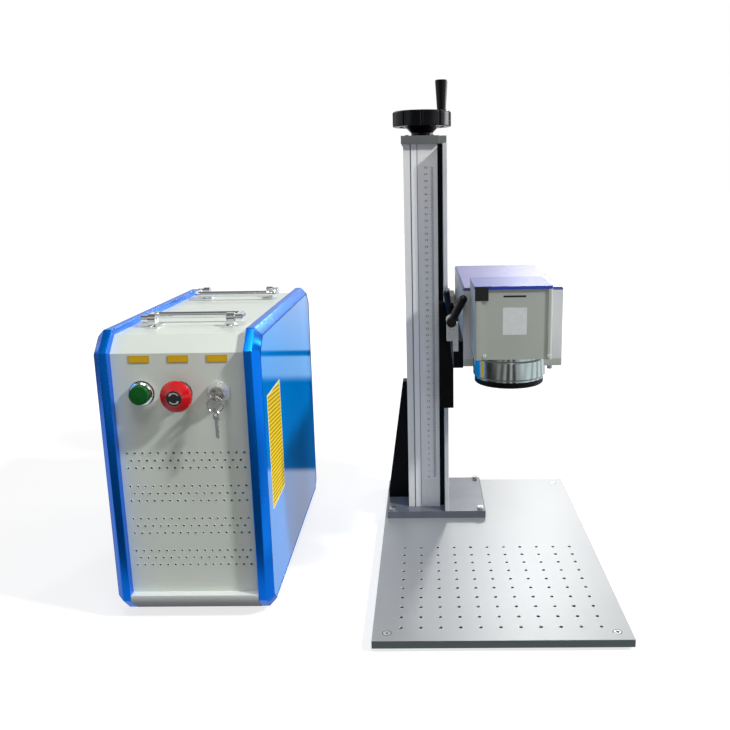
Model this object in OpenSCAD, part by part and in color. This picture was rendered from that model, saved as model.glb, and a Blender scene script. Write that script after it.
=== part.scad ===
// Laser marking machine in two free-standing units: a control cabinet on the left, and on the
// right a worktable whose column carries the marking head.
// Lengths are in millimetres, +Z is up, and the operator stands on the -Y side.

/* [Layout] */
// Clear distance between the cabinet and the worktable
unit_gap = 133; // [60:1:300]
// How far the cabinet's front stands behind the worktable's front edge
cabinet_setback = 78.5; // [0:0.5:200]

/* [Cabinet] */
// Width over both cheeks
cab_w = 207; // [190:1:300]
// Depth of the cheeks
cab_d = 442; // [400:1:600]
// Height of the cheeks above the tray's underside
cab_h = 377; // [365:1:480]
// Thickness of a cheek, with its bevel
cheek_t = 19.5; // [16:0.5:22]
// Width of the bevel that runs round a cheek
bevel = 9.5; // [5:0.5:11]
// Leg of the two upper corner chamfers
top_chamfer = 25; // [20:1:40]
// Leg of the two lower corner chamfers
foot_chamfer = 19; // [16:1:32]
// How far the front panel lies behind the cheeks
front_recess = 11.5; // [6:0.5:14]
// How far the top lies below the cheeks
top_recess = 8; // [1:0.5:9]
// Thickness of the cabinet's sheet metal
sheet = 2; // [1:0.1:3]
// Height of the tray's upright front strip
strip_h = 7.5; // [5:0.5:14]
// Height of the cabinet's rubber feet
cab_foot_h = 8; // [5:0.5:12]
// Diameter of the cabinet's rubber feet
cab_foot_d = 24; // [16:1:34]

/* [Vents] */
// Diameter of one vent hole
vent_d = 3; // [2:0.1:4.5]
// Distance of a long row's outer holes from the cheeks
vent_margin = 9; // [5:0.5:30]
// Distance between the rows of a group
vent_row_pitch = 10; // [7:0.1:12]
// Distance between groups
vent_group_pitch = 44.7; // [38:0.1:48]
// Height of the lowest row above the tray's underside
vent_low = 65; // [45:1:75]
// Holes in a long row
vent_cols = 16; // [8:1:16]
// Number of groups of three rows
vent_groups = 4; // [1:1:4]

/* [Switches] */
// Distance of the two outer switches from the cheeks
switch_margin = 35.5; // [20:0.5:36]
// Distance of the switches below the cheeks' top
switch_drop = 79; // [78:1:100]
// Diameter of the panel holes and of the barrels behind them
switch_hole_d = 22; // [18:0.5:24]
// Diameter of the green button's cap
start_cap_d = 24.4; // [20:0.2:26]
// Outer diameter of the button bezel
bezel_d = 30; // [28:0.5:34]
// Diameter of the mushroom cap
estop_d = 40; // [32:1:44]
// How far the stop button travels
estop_travel = 4; // [2:0.5:6]
// How far the green button travels
start_travel = 3; // [1:0.5:4]
// Diameter of the turning lock plug
plug_d = 17; // [14:0.5:19]
// Width of a key's bow
key_bow_w = 14; // [12:0.5:14]
// Radius of the key ring's wire circle
key_ring_r = 10; // [9.5:0.5:12]
// Slope of the key slot below the horizontal, in degrees
key_slope = 40; // [35:1:60]
// Width and height of a legend plate
legend_size = [26, 9]; // [6:1:30]

/* [Handles] */
// Length of a folding handle over its arms
handle_l = 132; // [110:1:150]
// Diameter of the handle bar
handle_d = 9; // [7:0.5:10]
// Height of the handles' pivots above the top
handle_h = 11; // [9:0.5:16]
// Distance of a handle's bar from its pivots
handle_reach = 32; // [26:1:60]
// Distance of the pivots from the cabinet's front and from its back
handle_inset = 84.5; // [60:0.5:130]

/* [Rear] */
// Side of the square fan
fan_size = 120; // [92:1:130]
// Depth of the fan
fan_depth = 25; // [20:1:38]
// Height of the fan's centre above the tray's underside
fan_z = 250; // [230:1:262]
// Height of the mains inlet's centre above the tray's underside
inlet_z = 92; // [82:1:110]
// Height of the sockets' centre above the tray's underside
socket_z = 150; // [140:1:160]

/* [Worktable] */
// Width of the worktable plate
table_w = 320; // [300:1:500]
// Depth of the worktable plate
table_d = 540; // [500:1:700]
// Thickness of the worktable plate
table_t = 10; // [8:0.5:20]
// Height of the worktable's feet
table_foot_h = 5; // [3:0.5:5]
// Distance between the tapped holes
grid_pitch = 25; // [15:1:26]
// Holes across the worktable
grid_cols = 11; // [3:1:11]
// Holes from front to back
grid_rows = 10; // [3:1:11]
// Core diameter of a tapped hole
grid_hole_d = 5; // [3:0.1:8]
// Distance of the first row behind the front edge
grid_front = 30; // [15:1:40]

/* [Column] */
// Width of the column flange
flange_w = 162; // [150:1:220]
// Depth of the column flange
flange_d = 155; // [155:1:200]
// Thickness of the column flange
flange_t = 12; // [8:0.5:20]
// Distance of the flange behind which the worktable ends
flange_rear_gap = 20; // [5:1:60]
// Distance of the flange from the worktable's left edge
flange_left_gap = 4.5; // [1:0.5:60]
// Distance of the extrusion from the flange's left edge
column_inset = 35; // [25:1:50]
// Width of the column extrusion
column_w = 52; // [46:1:70]
// Depth of the column extrusion
column_d = 108; // [96:1:130]
// Length of the column extrusion
column_l = 588; // [500:1:900]
// Wall of the column extrusion
column_wall = 6; // [4:0.5:7]
// Thickness of the black gap behind the guide rails
rail_gap = 7.7; // [6:0.1:12]
// Thickness of a guide rail
rail_t = 6.6; // [5:0.1:12]
// Distance over both guide rails
rail_span = 152; // [146:1:154]
// Depth of one guide rail
rail_d = 46; // [40:1:50]
// Thickness of the column cap
cap_t = 12; // [10:0.5:20]
// Height of the gusset's top above the flange
gusset_h = 206; // [120:1:400]

/* [Drive] */
// Diameter of the lead screw
screw_d = 16; // [14:1:18]
// Diameter of the screw's two journals
journal_d = 12; // [8:0.5:12]
// Diameter of the handwheel
wheel_d = 92; // [80:1:100]
// Height of the handwheel's rim
wheel_rim_h = 23; // [14:1:30]
// Height of the rim's underside above the column cap
wheel_lift = 16; // [12:1:30]
// Number of flutes round the rim
wheel_flutes = 10; // [6:1:14]
// Distance of the crank handle from the wheel's centre
crank_r = 31; // [26:0.5:32]
// Height of the crank handle
crank_h = 47; // [30:1:70]
// Diameter of the crank handle at its wide end
crank_d = 19.5; // [16:0.5:22]

/* [Carriage] */
// Height of the carriage
carriage_h = 168; // [120:1:200]
// Height of the carriage's underside above the worktable
carriage_lift = 193; // [60:1:230]
// Thickness of the carriage plate
carriage_t = 7.5; // [6:0.5:14]
// Thickness of the carriage's two claws
claw_t = 12.7; // [10:0.1:16]
// How far a claw hooks behind its rail
hook_d = 15; // [8:1:18]
// Thickness of the bracket between carriage and head
bracket_t = 7.4; // [5:0.2:12]

/* [Marking head] */
// Width of the head
head_w = 133; // [120:1:180]
// Length of the head, without the galvo case
head_l = 292; // [240:1:320]
// Height of the head
head_h = 107; // [90:1:140]
// Distance of the head's front ahead of the column's centre
head_reach = 253; // [200:1:280]
// Height of the head's underside above the carriage's underside
head_rise = 105; // [80:1:110]
// Thickness of the head's base plate
head_base_t = 10; // [6:0.5:14]
// Width of the galvo case
galvo_w = 95; // [94:1:120]
// Depth of the galvo case
galvo_d = 98; // [94:1:120]
// Height of the galvo case with its lid
galvo_h = 91; // [86:1:120]
// Height of the galvo case above the head's underside
galvo_rise = 30; // [10:1:34]
// Distance of the galvo case's centre from the head's left side
galvo_x = 56.5; // [56.5:0.5:70]
// Diameter of the scan lens
lens_d = 92; // [70:1:92]
// Height of the lens barrel
lens_h = 31; // [20:1:50]
// Height of the black ring under the lens
lens_ring_h = 7.4; // [4:0.2:12]

/* [Hidden] */
$fn = 64;

// Overrun of every cut, running clearance of round fits, and gap between sliding faces
cut = 1;
run = 0.05;
slide_gap = 0.3;
// Edge chamfer of turned and moulded pieces
edge = 1;

// Place of the two units: the whole set is centred on the origin and stands on z = 0
set_w = cab_w + unit_gap + table_w;
set_front = min(0, cabinet_setback);
set_back = max(table_d, cabinet_setback + cab_d);
module at_cabinet() {
  translate([-set_w / 2, cabinet_setback - (set_front + set_back) / 2, 0]) children();
}
module at_stand() {
  translate([set_w / 2 - table_w, -(set_front + set_back) / 2, 0]) children();
}

// Cabinet: derived heights above the floor and depths behind the cheeks' front
tray_z = cab_foot_h;
ledge_z = tray_z + foot_chamfer + strip_h;
roof_z = tray_z + cab_h - top_recess;
inner_w = cab_w - 2 * cheek_t;
front_y = front_recess;
back_y = cab_d - front_recess;
switch_at_z = tray_z + cab_h - switch_drop;
switch_pitch = inner_w / 2 - switch_margin;

// Octagonal side outline, drawn with depth as x and height as y, moved inwards by in
function octagon(d, h, top, foot, in) =
  let (t = top - in * (2 - sqrt(2)), f = foot - in * (2 - sqrt(2)))
  [[in + f, in], [d - in - f, in], [d - in, in + f], [d - in, h - in - t],
   [d - in - t, h - in], [in + t, h - in], [in, h - in - t], [in, in + f]];

// Turns an outline drawn as depth and height into a slab of the given width along X
module side_slab(width) { rotate([90, 0, 90]) linear_extrude(width) children(); }

// A round piece whose axis runs back along +Y from the given front face
module back_rod(d, l) { rotate([-90, 0, 0]) cylinder(d = d, h = l); }

// Cheek: a moulded tray with a bevel round its outer face and a shallow seat for the panel
cheek_wall = 4;
cheek_lip = 1.5;
panel_t = 2;
panel_sink = 0.5;
panel_seat = bevel + cheek_lip;
module cheek() {
  difference() {
    union() {
      side_slab(cheek_t - bevel) polygon(octagon(cab_d, cab_h, top_chamfer, foot_chamfer, 0));
      hull() {
        translate([cheek_t - bevel - cheek_lip, 0, 0]) side_slab(cheek_lip)
          polygon(octagon(cab_d, cab_h, top_chamfer, foot_chamfer, 0));
        translate([cheek_t - panel_sink, 0, 0]) side_slab(panel_sink)
          polygon(octagon(cab_d, cab_h, top_chamfer, foot_chamfer, bevel));
      }
    }
    translate([cheek_t - panel_t - panel_sink, 0, 0]) side_slab(panel_t + cut)
      polygon(octagon(cab_d, cab_h, top_chamfer, foot_chamfer, panel_seat));
    translate([-cut, 0, 0]) side_slab(cheek_t - bevel - cheek_wall / 2 + cut)
      polygon(octagon(cab_d, cab_h, top_chamfer, foot_chamfer, panel_seat + cheek_wall));
  }
}
module right_side() { translate([cab_w - cheek_t, 0, tray_z]) children(); }
module left_side() { translate([cheek_t, 0, tray_z]) mirror([1, 0, 0]) children(); }
module left_cheek() color("royalblue") at_cabinet() left_side() cheek();
module right_cheek() color("royalblue") at_cabinet() right_side() cheek();

// Glossy panel that fills a cheek's seat
panel_clear = 0.3;
module side_panel() {
  translate([cheek_t - panel_t - panel_sink, 0, 0]) side_slab(panel_t)
    polygon(octagon(cab_d, cab_h, top_chamfer, foot_chamfer, panel_seat + panel_clear));
}
module side_panels() {
  color("dodgerblue") at_cabinet() {
    left_side() side_panel();
    right_side() side_panel();
  }
}

// Folded cover: front panel, slope, roof and rear slope in one sheet between the cheeks
cover_h = roof_z - tray_z;
cover_chamfer = top_chamfer - (2 - sqrt(2)) * top_recess;
module cover_outline(in) {
  polygon(octagon(cab_d - 2 * front_recess, cover_h, cover_chamfer, foot_chamfer, in));
}
module front_top_cover() {
  pitch = (inner_w - 2 * vent_margin) / (vent_cols - 1);
  color("gainsboro") at_cabinet() difference() {
    translate([cheek_t, front_y, tray_z]) side_slab(inner_w) difference() {
      cover_outline(0);
      cover_outline(sheet);
      translate([-cut, -cut]) square([cab_d, ledge_z - tray_z + cut]);
      translate([cab_d - 2 * front_recess - sheet, -cut])
        square([sheet + cut, cover_h - cover_chamfer + cut]);
    }
    for (g = [0 : vent_groups - 1], r = [0 : 2], c = [0 : vent_cols - 1 - r % 2])
      translate([cheek_t + vent_margin + (c + r % 2 / 2) * pitch, front_y - cut,
                 tray_z + vent_low + g * vent_group_pitch + r * vent_row_pitch])
        back_rod(vent_d, sheet + 2 * cut, $fn = 16);
    for (s = [-1 : 1]) translate([cab_w / 2 + s * switch_pitch, front_y - cut, switch_at_z])
      back_rod(switch_hole_d, sheet + 2 * cut);
  }
}

// Folded tray with a chamfered foot and ledges that close it to the front and rear panels
module tray_outline(in) {
  polygon([for (p = octagon(cab_d, cab_h, top_chamfer, foot_chamfer, in))
    [p[0], min(p[1], foot_chamfer + strip_h - in)]]);
}
module base_tray() {
  shelf = front_recess + cheek_t / 2;
  color("silver") at_cabinet() translate([cheek_t, 0, tray_z]) side_slab(inner_w)
    difference() {
      tray_outline(0);
      tray_outline(sheet);
      translate([shelf, foot_chamfer]) square([cab_d - 2 * shelf, strip_h + cut]);
    }
}

// Rear panel with a slotted fan grille, a mains inlet and two socket openings
grille_rings = 5;
grille_slot = 4;
grille_web = 6;
module fan_grille() {
  hub_r = fan_size / 7;
  step = (fan_size * 0.46 - hub_r) / grille_rings;
  difference() {
    for (i = [0 : grille_rings - 1]) difference() {
      circle(r = hub_r + i * step + grille_slot);
      circle(r = hub_r + i * step);
    }
    for (a = [0 : 60 : 120]) rotate(a + 30) square([fan_size, grille_web], center = true);
  }
}
inlet_w = 28;
inlet_h = 48;
socket_w = 30;
socket_h = 14;
gland_d = 16;
module rear_plate_xz(depth) {
  rotate([90, 0, 0]) translate([0, 0, -depth]) linear_extrude(depth) children();
}
module rear_panel() {
  top_z = tray_z + cover_h - cover_chamfer;
  color("gainsboro") at_cabinet() translate([0, back_y - sheet, 0]) rear_plate_xz(sheet)
    difference() {
      translate([cheek_t, ledge_z]) square([inner_w, top_z - ledge_z]);
      translate([cab_w / 2, tray_z + fan_z]) fan_grille();
      translate([cab_w / 2 - inlet_w / 2, tray_z + inlet_z - inlet_h / 2])
        square([inlet_w, inlet_h]);
      translate([cab_w / 2 - inner_w / 4 - socket_w / 2, tray_z + socket_z - socket_h / 2])
        square([socket_w, socket_h]);
      translate([cab_w / 2 + inner_w / 4, tray_z + socket_z]) circle(d = gland_d);
    }
}

// Four rubber feet with rounded rims, set well back under the tray
module rubber_foot(d, h) {
  rim = h / 4;
  rotate_extrude() polygon([[0, 0], [d / 2 - rim, 0], [d / 2, rim], [d / 2, h], [0, h]]);
}
module cabinet_feet() {
  inset_y = foot_chamfer + cab_foot_d;
  inset_x = cheek_t + cab_foot_d;
  color("dimgray") at_cabinet() for (x = [inset_x, cab_w - inset_x], y = [inset_y, cab_d - inset_y])
    translate([x, y, 0]) rubber_foot(cab_foot_d, cab_foot_h);
}

// Places a folding handle's pieces with its pivots' line as x and +Y towards the middle
module at_handle(rear) {
  at_cabinet() translate([cab_w / 2, rear * cab_d + (1 - 2 * rear) * handle_inset, roof_z + handle_h])
    mirror([0, rear, 0]) children();
}
arm_x = handle_l / 2 - handle_d / 2;
saddle_w = handle_d * 1.1;
saddle_d = handle_d * 1.6;
saddle_x = arm_x - handle_d / 2 - slide_gap - saddle_w;
handle_pin_d = handle_d * 0.55;

// Two round-topped chrome saddles for each handle, on long feet screwed to the top
module handle_saddles() {
  color("whitesmoke") for (rear = [0, 1], side = [0, 1]) at_handle(rear) mirror([side, 0, 0])
    translate([saddle_x, 0, 0]) difference() {
      union() {
        side_slab(saddle_w) {
          circle(d = saddle_d);
          translate([-saddle_d / 2, -handle_h]) square([saddle_d, handle_h]);
        }
        translate([-saddle_w / 2, -saddle_d, -handle_h])
          cube([saddle_w * 1.5, 2 * saddle_d, handle_h / 4]);
      }
      translate([-cut, 0, 0]) rotate([0, 90, 0])
        cylinder(d = handle_pin_d + 2 * run, h = saddle_w + 2 * cut);
    }
}

// Folding chrome bow: a bar, two quarter bends, and two arms whose eyes carry the pins
module folding_bow() {
  bend = handle_d;
  eye_d = handle_d * 1.2;
  translate([bend - arm_x, handle_reach, 0]) rotate([0, 90, 0])
    cylinder(d = handle_d, h = 2 * (arm_x - bend));
  for (side = [0, 1]) mirror([side, 0, 0]) {
    translate([arm_x - bend, handle_reach - bend, 0]) rotate_extrude(angle = 90)
      translate([bend, 0]) circle(d = handle_d);
    translate([arm_x, 0, 0]) back_rod(handle_d, handle_reach - bend);
    translate([arm_x - handle_d / 2, 0, 0]) rotate([0, 90, 0]) cylinder(d = eye_d, h = handle_d);
    translate([saddle_x + edge, 0, 0]) rotate([0, 90, 0])
      cylinder(d = handle_pin_d, h = arm_x - saddle_x - edge);
  }
}
module front_handle() color("whitesmoke") at_handle(0) folding_bow();
module rear_handle() color("whitesmoke") at_handle(1) folding_bow();

// Places a switch's pieces with the panel's face as y = 0 and +Y going in
module at_switch(s) {
  at_cabinet() translate([cab_w / 2 + s * switch_pitch, front_y, switch_at_z]) children();
}
barrel_l = 26;
bezel_h = 7;

// Chrome bezel ring of the green button, with its barrel behind the panel
start_seat_d = start_cap_d + 2 * slide_gap;
start_stem_d = 12;
module start_bezel() {
  rim = bezel_h / 5;
  floor_y = rim * 2;
  color("silver") at_switch(-1) rotate([-90, 0, 0]) rotate_extrude() polygon([
    [start_seat_d / 2, -bezel_h], [bezel_d / 2 - rim, -bezel_h], [bezel_d / 2, rim - bezel_h],
    [bezel_d / 2, 0], [switch_hole_d / 2 - slide_gap, 0],
    [switch_hole_d / 2 - slide_gap, barrel_l], [start_stem_d / 2 + run, barrel_l],
    [start_stem_d / 2 + run, -floor_y / 2], [start_seat_d / 2, -floor_y / 2]]);
}

// Green cap, crowned, on a stem that slides in the barrel
start_proud = 14;
module start_cap() {
  rim = bezel_h / 5;
  back = -rim - start_travel - slide_gap;
  color("green") at_switch(-1) rotate([-90, 0, 0]) rotate_extrude() polygon([
    [0, -start_proud], [start_cap_d / 2 - rim, -start_proud + rim / 2],
    [start_cap_d / 2, -start_proud + rim], [start_cap_d / 2, back], [start_stem_d / 2, back],
    [start_stem_d / 2, barrel_l - start_travel - cut], [0, barrel_l - start_travel - cut]]);
}

// Dark collar of the stop button, with its barrel behind the panel
collar_h = 9;
estop_stem_d = 14;
estop_nose_d = 10;
module estop_collar() {
  color("dimgray") at_switch(0) rotate([-90, 0, 0]) rotate_extrude() polygon([
    [estop_stem_d / 2 + run, -collar_h], [bezel_d / 2 - bezel_h / 2, -collar_h],
    [bezel_d / 2, -bezel_h / 2], [bezel_d / 2, 0], [switch_hole_d / 2 - slide_gap, 0],
    [switch_hole_d / 2 - slide_gap, barrel_l], [estop_stem_d / 2 + run, barrel_l]]);
}

// Stepped stem that the stop button's cap turns on
estop_back = -collar_h - estop_travel - edge;
estop_cap_h = 14;
module estop_stem() {
  color("silver") at_switch(0) rotate([-90, 0, 0]) rotate_extrude() polygon([
    [0, estop_back - estop_cap_h * 0.6], [estop_nose_d / 2, estop_back - estop_cap_h * 0.6],
    [estop_nose_d / 2, estop_back + slide_gap], [estop_stem_d / 2, estop_back + slide_gap],
    [estop_stem_d / 2, barrel_l - estop_travel - cut], [0, barrel_l - estop_travel - cut]]);
}

// Red mushroom cap with a sunk centre and a rolled edge
module estop_cap() {
  r = estop_d / 2;
  roll = estop_cap_h * 0.3;
  face = estop_back - estop_cap_h;
  dish_r = r * 0.42;
  bore_y = estop_back - estop_cap_h * 0.6 - slide_gap;
  color("red") at_switch(0) rotate([-90, 0, 0]) rotate_extrude() difference() {
    union() {
      polygon([[0, face], [dish_r, face], [r - 2 * roll, face + roll / 2],
               [r - roll, face + roll], [r - roll, estop_back], [0, estop_back]]);
      polygon([[r - roll * 2, face + roll / 2], [r - roll / 3, face + 1.4 * roll],
               [r, face + 2.2 * roll], [r - roll / 3, estop_back - roll / 3],
               [r - roll, estop_back], [r - roll * 2, estop_back]]);
    }
    translate([-cut, face - cut]) square([dish_r - roll / 2 + cut, cut + roll / 4]);
    translate([-cut, bore_y]) square([estop_nose_d / 2 + run + cut, estop_back - bore_y + cut]);
  }
}

// Coned chrome barrel of the key switch
barrel_proud = 12;
module key_switch_barrel() {
  lip = barrel_proud / 6;
  color("silver") at_switch(1) rotate([-90, 0, 0]) rotate_extrude() polygon([
    [plug_d / 2 + run, -barrel_proud], [plug_d / 2 + lip, -barrel_proud],
    [plug_d / 2 + 1.5 * lip, lip - barrel_proud], [bezel_d / 2, -lip / 2],
    [bezel_d / 2, 0], [switch_hole_d / 2 - slide_gap, 0],
    [switch_hole_d / 2 - slide_gap, barrel_l], [plug_d / 2 + run, barrel_l]]);
}

// A flat key drawn in its own plane: bow centre at the origin, blade towards +x
key_t = 1.6;
key_hole_d = 7;
key_blade_w = 6;
key_blade_l = 22;
key_neck = 3;
module key_outline(blade) {
  difference() {
    union() {
      translate([-key_bow_w / 2 + key_neck / 2, 0]) circle(d = key_bow_w);
      translate([-key_bow_w / 2, -key_bow_w / 2])
        square([key_bow_w / 2 + key_neck, key_bow_w]);
      translate([0, -key_blade_w / 2]) square([key_neck + blade + cut, key_blade_w]);
    }
    translate([-key_bow_w / 2 + key_neck, 0]) circle(d = key_hole_d);
    translate([key_neck + blade + cut, 0]) rotate(45)
      square(key_blade_w / 2, center = true);
  }
}

// Turning plug with a slotted face and the key standing in the slot
key_stand = 11;
key_hole_out = barrel_proud * 0.875 + key_stand;
module key_plug() {
  face = -barrel_proud * 0.875;
  bow_y = -key_hole_out + key_bow_w / 2 - key_neck;
  color("gainsboro") at_switch(1) rotate([0, key_slope, 0]) {
    difference() {
      translate([0, face, 0]) back_rod(plug_d, barrel_l - face);
      for (s = [-1, 1]) translate([-plug_d / 2 - cut, face - cut, s * key_t * 0.9 - key_t / 4])
        cube([plug_d + 2 * cut, cut + key_t / 2, key_t / 2]);
    }
    translate([0, bow_y, -key_t / 2]) linear_extrude(key_t) rotate(90)
      key_outline(face - bow_y - key_neck);
  }
}

// Split ring through the key's bow, with the spare key hanging from it
ring_wire_d = 1.4;
spare_turn = 42;
module key_ring() {
  spare_z = -2 * key_ring_r - key_hole_d / 2 + ring_wire_d / 2 + slide_gap / 2;
  color("silver") at_switch(1) translate([0, -key_hole_out, 0]) {
    translate([0, 0, -key_ring_r]) rotate([90, 0, 0]) rotate_extrude()
      translate([key_ring_r, 0]) circle(d = ring_wire_d, $fn = 24);
    rotate(spare_turn) translate([-key_t / 2, 0, spare_z - key_bow_w / 2 + key_neck])
      rotate([0, 90, 0]) linear_extrude(key_t) key_outline(key_blade_l);
  }
}

// Contact blocks clipped to the barrels behind the panel
block_w = 30;
block_h = 40;
block_l = 24;
module switch_blocks() {
  color("dimgray") for (s = [-1 : 1]) at_switch(s) translate([0, barrel_l, 0]) difference() {
    translate([-block_w / 2, 0, -block_h / 2]) cube([block_w, block_l, block_h]);
    for (z = [-1, 1]) translate([-block_w / 2 - cut, block_l * 0.6, z * block_h * 0.38 - edge])
      cube([block_w + 2 * cut, block_l, 2 * edge]);
  }
}

// Three bare legend plates over the switches
legend_t = 0.8;
legend_z = 43.5;
module legend_plates() {
  color("gold") for (s = [-1 : 1]) at_switch(s)
    translate([-legend_size[0] / 2, -legend_t, legend_z - legend_size[1] / 2])
      cube([legend_size[0], legend_t, legend_size[1]]);
}

// Mains inlet with its socket below and the frame of its rocker switch above
inlet_flange = 3;
inlet_depth = 24;
inlet_lip = 4;
socket_in = [23, 15];
rocker_in = [20, 13];
rocker_axis = 3;
rocker_pin_d = 3;
pin_shares = [[-0.3, 0.04], [0, -0.13], [0.3, 0.04]];
module inlet_at() { at_cabinet() translate([cab_w / 2, back_y, tray_z + inlet_z]) children(); }
module power_inlet() {
  socket_mid = -inlet_h / 2 + socket_in[1] / 2 + inlet_lip / 2;
  rocker_mid = inlet_h / 2 - rocker_in[1] / 2 - inlet_lip / 2;
  pin_l = inlet_depth * 0.45;
  color("dimgray") inlet_at() difference() {
    union() {
      translate([-inlet_w / 2 - inlet_lip, 0, -inlet_h / 2 - inlet_lip])
        cube([inlet_w + 2 * inlet_lip, inlet_flange, inlet_h + 2 * inlet_lip]);
      translate([-inlet_w / 2 + slide_gap, -inlet_depth, -inlet_h / 2 + slide_gap])
        cube([inlet_w - 2 * slide_gap, inlet_depth + inlet_flange / 2, inlet_h - 2 * slide_gap]);
    }
    difference() {
      translate([-socket_in[0] / 2, inlet_flange - inlet_depth * 0.7, socket_mid - socket_in[1] / 2])
        cube([socket_in[0], inlet_depth, socket_in[1]]);
      for (p = pin_shares * socket_in[0])
        translate([p[0] - pin_l / 10, inlet_flange - inlet_depth * 0.7 - cut,
                   socket_mid + p[1] - pin_l / 5])
          cube([pin_l / 5, pin_l + cut, pin_l * 0.4]);
    }
    translate([-rocker_in[0] / 2, -rocker_in[1] / 2 - cut, rocker_mid - rocker_in[1] / 2])
      cube([rocker_in[0], inlet_depth, rocker_in[1]]);
    translate([-inlet_w / 2 + inlet_lip / 4, -rocker_axis, rocker_mid]) rotate([0, 90, 0])
      cylinder(d = rocker_pin_d + 2 * run, h = inlet_w - inlet_lip / 2);
  }
}

// Two-faced rocker that tips on a cross pin
rocker_tip = 10;
module power_rocker() {
  rocker_mid = inlet_h / 2 - rocker_in[1] / 2 - inlet_lip / 2;
  half = rocker_in[1] / 2 - slide_gap * 3;
  width = rocker_in[0] - 4 * slide_gap;
  color("black") inlet_at() translate([0, -rocker_axis, rocker_mid]) {
    rotate([rocker_tip, 0, 0]) translate([-width / 2, 0, 0]) rotate([90, 0, 90])
      linear_extrude(width) polygon([[-half / 2, -half * 0.8], [rocker_axis + half / 3, -half],
        [rocker_axis, 0], [rocker_axis + half / 3, half], [-half / 2, half * 0.8]]);
    translate([-inlet_w / 2 + inlet_lip / 2, 0, 0]) rotate([0, 90, 0])
      cylinder(d = rocker_pin_d, h = inlet_w - inlet_lip);
  }
}

// Square fan frame with a round duct, three struts and a hub that carries the rotor's shaft
fan_bore_share = 0.94;
fan_hub_share = 0.34;
fan_shaft_d = 4;
fan_strut = 5;
module at_fan() {
  at_cabinet() translate([cab_w / 2, back_y - sheet, tray_z + fan_z]) rotate([90, 0, 0]) children();
}
module fan_frame() {
  bore = fan_size * fan_bore_share;
  hub = fan_size * fan_hub_share;
  color("dimgray") at_fan() difference() {
    union() {
      linear_extrude(fan_depth) difference() {
        square(fan_size, center = true);
        circle(d = bore);
        for (x = [-1, 1], y = [-1, 1]) translate([x, y] * (fan_size * 0.4375))
          circle(d = fan_strut * 0.9);
      }
      linear_extrude(fan_strut) {
        circle(d = hub);
        for (a = [90 : 120 : 330]) rotate(a) translate([0, -fan_strut / 2])
          square([bore / 2 + cut, fan_strut]);
      }
    }
    translate([0, 0, -cut]) cylinder(d = fan_shaft_d + 2 * run, h = fan_strut + 2 * cut);
  }
}

// Seven-bladed rotor on a shaft
fan_blades = 7;
fan_blade_t = 2;
fan_pitch = 52;
fan_gap = 2;
module fan_rotor() {
  hub_r = fan_size * fan_hub_share / 2;
  tip_r = fan_size * fan_bore_share / 2 - fan_gap;
  low = fan_strut + fan_gap;
  high = fan_depth - fan_gap / 2;
  color("black") at_fan() {
    translate([0, 0, low]) cylinder(r = hub_r, h = high - low);
    translate([0, 0, fan_strut / 4]) cylinder(d = fan_shaft_d, h = low);
    for (i = [0 : fan_blades - 1]) rotate(i * 360 / fan_blades) intersection() {
      translate([tip_r / 2, 0, (low + high) / 2]) rotate([fan_pitch, 0, 0])
        cube([tip_r * 1.2, fan_blade_t, 2 * fan_depth], center = true);
      translate([0, 0, low + edge]) difference() {
        cylinder(r = tip_r, h = high - low - 2 * edge);
        translate([0, 0, -cut]) cylinder(r = hub_r - edge, h = high - low + 2 * cut);
      }
    }
  }
}

// Threaded cable gland: hexagon, clamping sleeve and nut round a bore
gland_bore = 8;
module cable_gland(wall) {
  hex = gland_d * 1.35;
  nut_l = gland_d / 3;
  difference() {
    union() {
      translate([0, 0, -wall - nut_l]) cylinder(d = gland_d - 2 * slide_gap, h = wall + 2 * nut_l);
      cylinder(d = hex, h = nut_l, $fn = 6);
      translate([0, 0, nut_l]) cylinder(d1 = hex * 0.86, d2 = hex * 0.7, h = nut_l);
      translate([0, 0, -wall - nut_l]) cylinder(d = hex, h = nut_l, $fn = 6);
    }
    translate([0, 0, -wall - nut_l - cut]) cylinder(d = gland_bore, h = wall + 3 * nut_l + 2 * cut);
  }
}
module cabinet_gland() {
  color("gray") at_cabinet()
    translate([cab_w / 2 + inner_w / 4, back_y, tray_z + socket_z]) rotate([-90, 0, 0])
      cable_gland(sheet);
}

// Multipin control socket with a shell and two screw posts
module control_sockets() {
  shell = socket_h / 5;
  color("silver") at_cabinet()
    translate([cab_w / 2 - inner_w / 4, back_y, tray_z + socket_z]) {
      translate([-socket_w / 2 - shell * 2, 0, -socket_h / 2 - shell / 2])
        cube([socket_w + 4 * shell, shell / 2, socket_h + shell]);
      translate([-socket_w / 2 + slide_gap, -socket_h, -socket_h / 2 + slide_gap])
        cube([socket_w - 2 * slide_gap, socket_h + shell * 1.8, socket_h - 2 * slide_gap]);
      for (s = [-1, 1]) translate([s * (socket_w / 2 + shell), shell / 2, 0])
        back_rod(shell * 1.5, shell);
    }
}

// Finned laser source on the tray's floor
source_size = [120, 250, 60];
source_back = 70;
fin_count = 12;
fin_t = 3;
module laser_source() {
  fin_h = source_size[2] / 3;
  pitch = (source_size[0] - fin_t) / (fin_count - 1);
  color("slategray") at_cabinet()
    translate([cab_w / 2 - source_size[0] / 2, cab_d - source_back - source_size[1], tray_z + sheet]) {
      cube([source_size[0], source_size[1], source_size[2] - fin_h]);
      for (i = [0 : fin_count - 1]) translate([i * pitch, 0, 0])
        cube([fin_t, source_size[1], source_size[2]]);
    }
}

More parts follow.
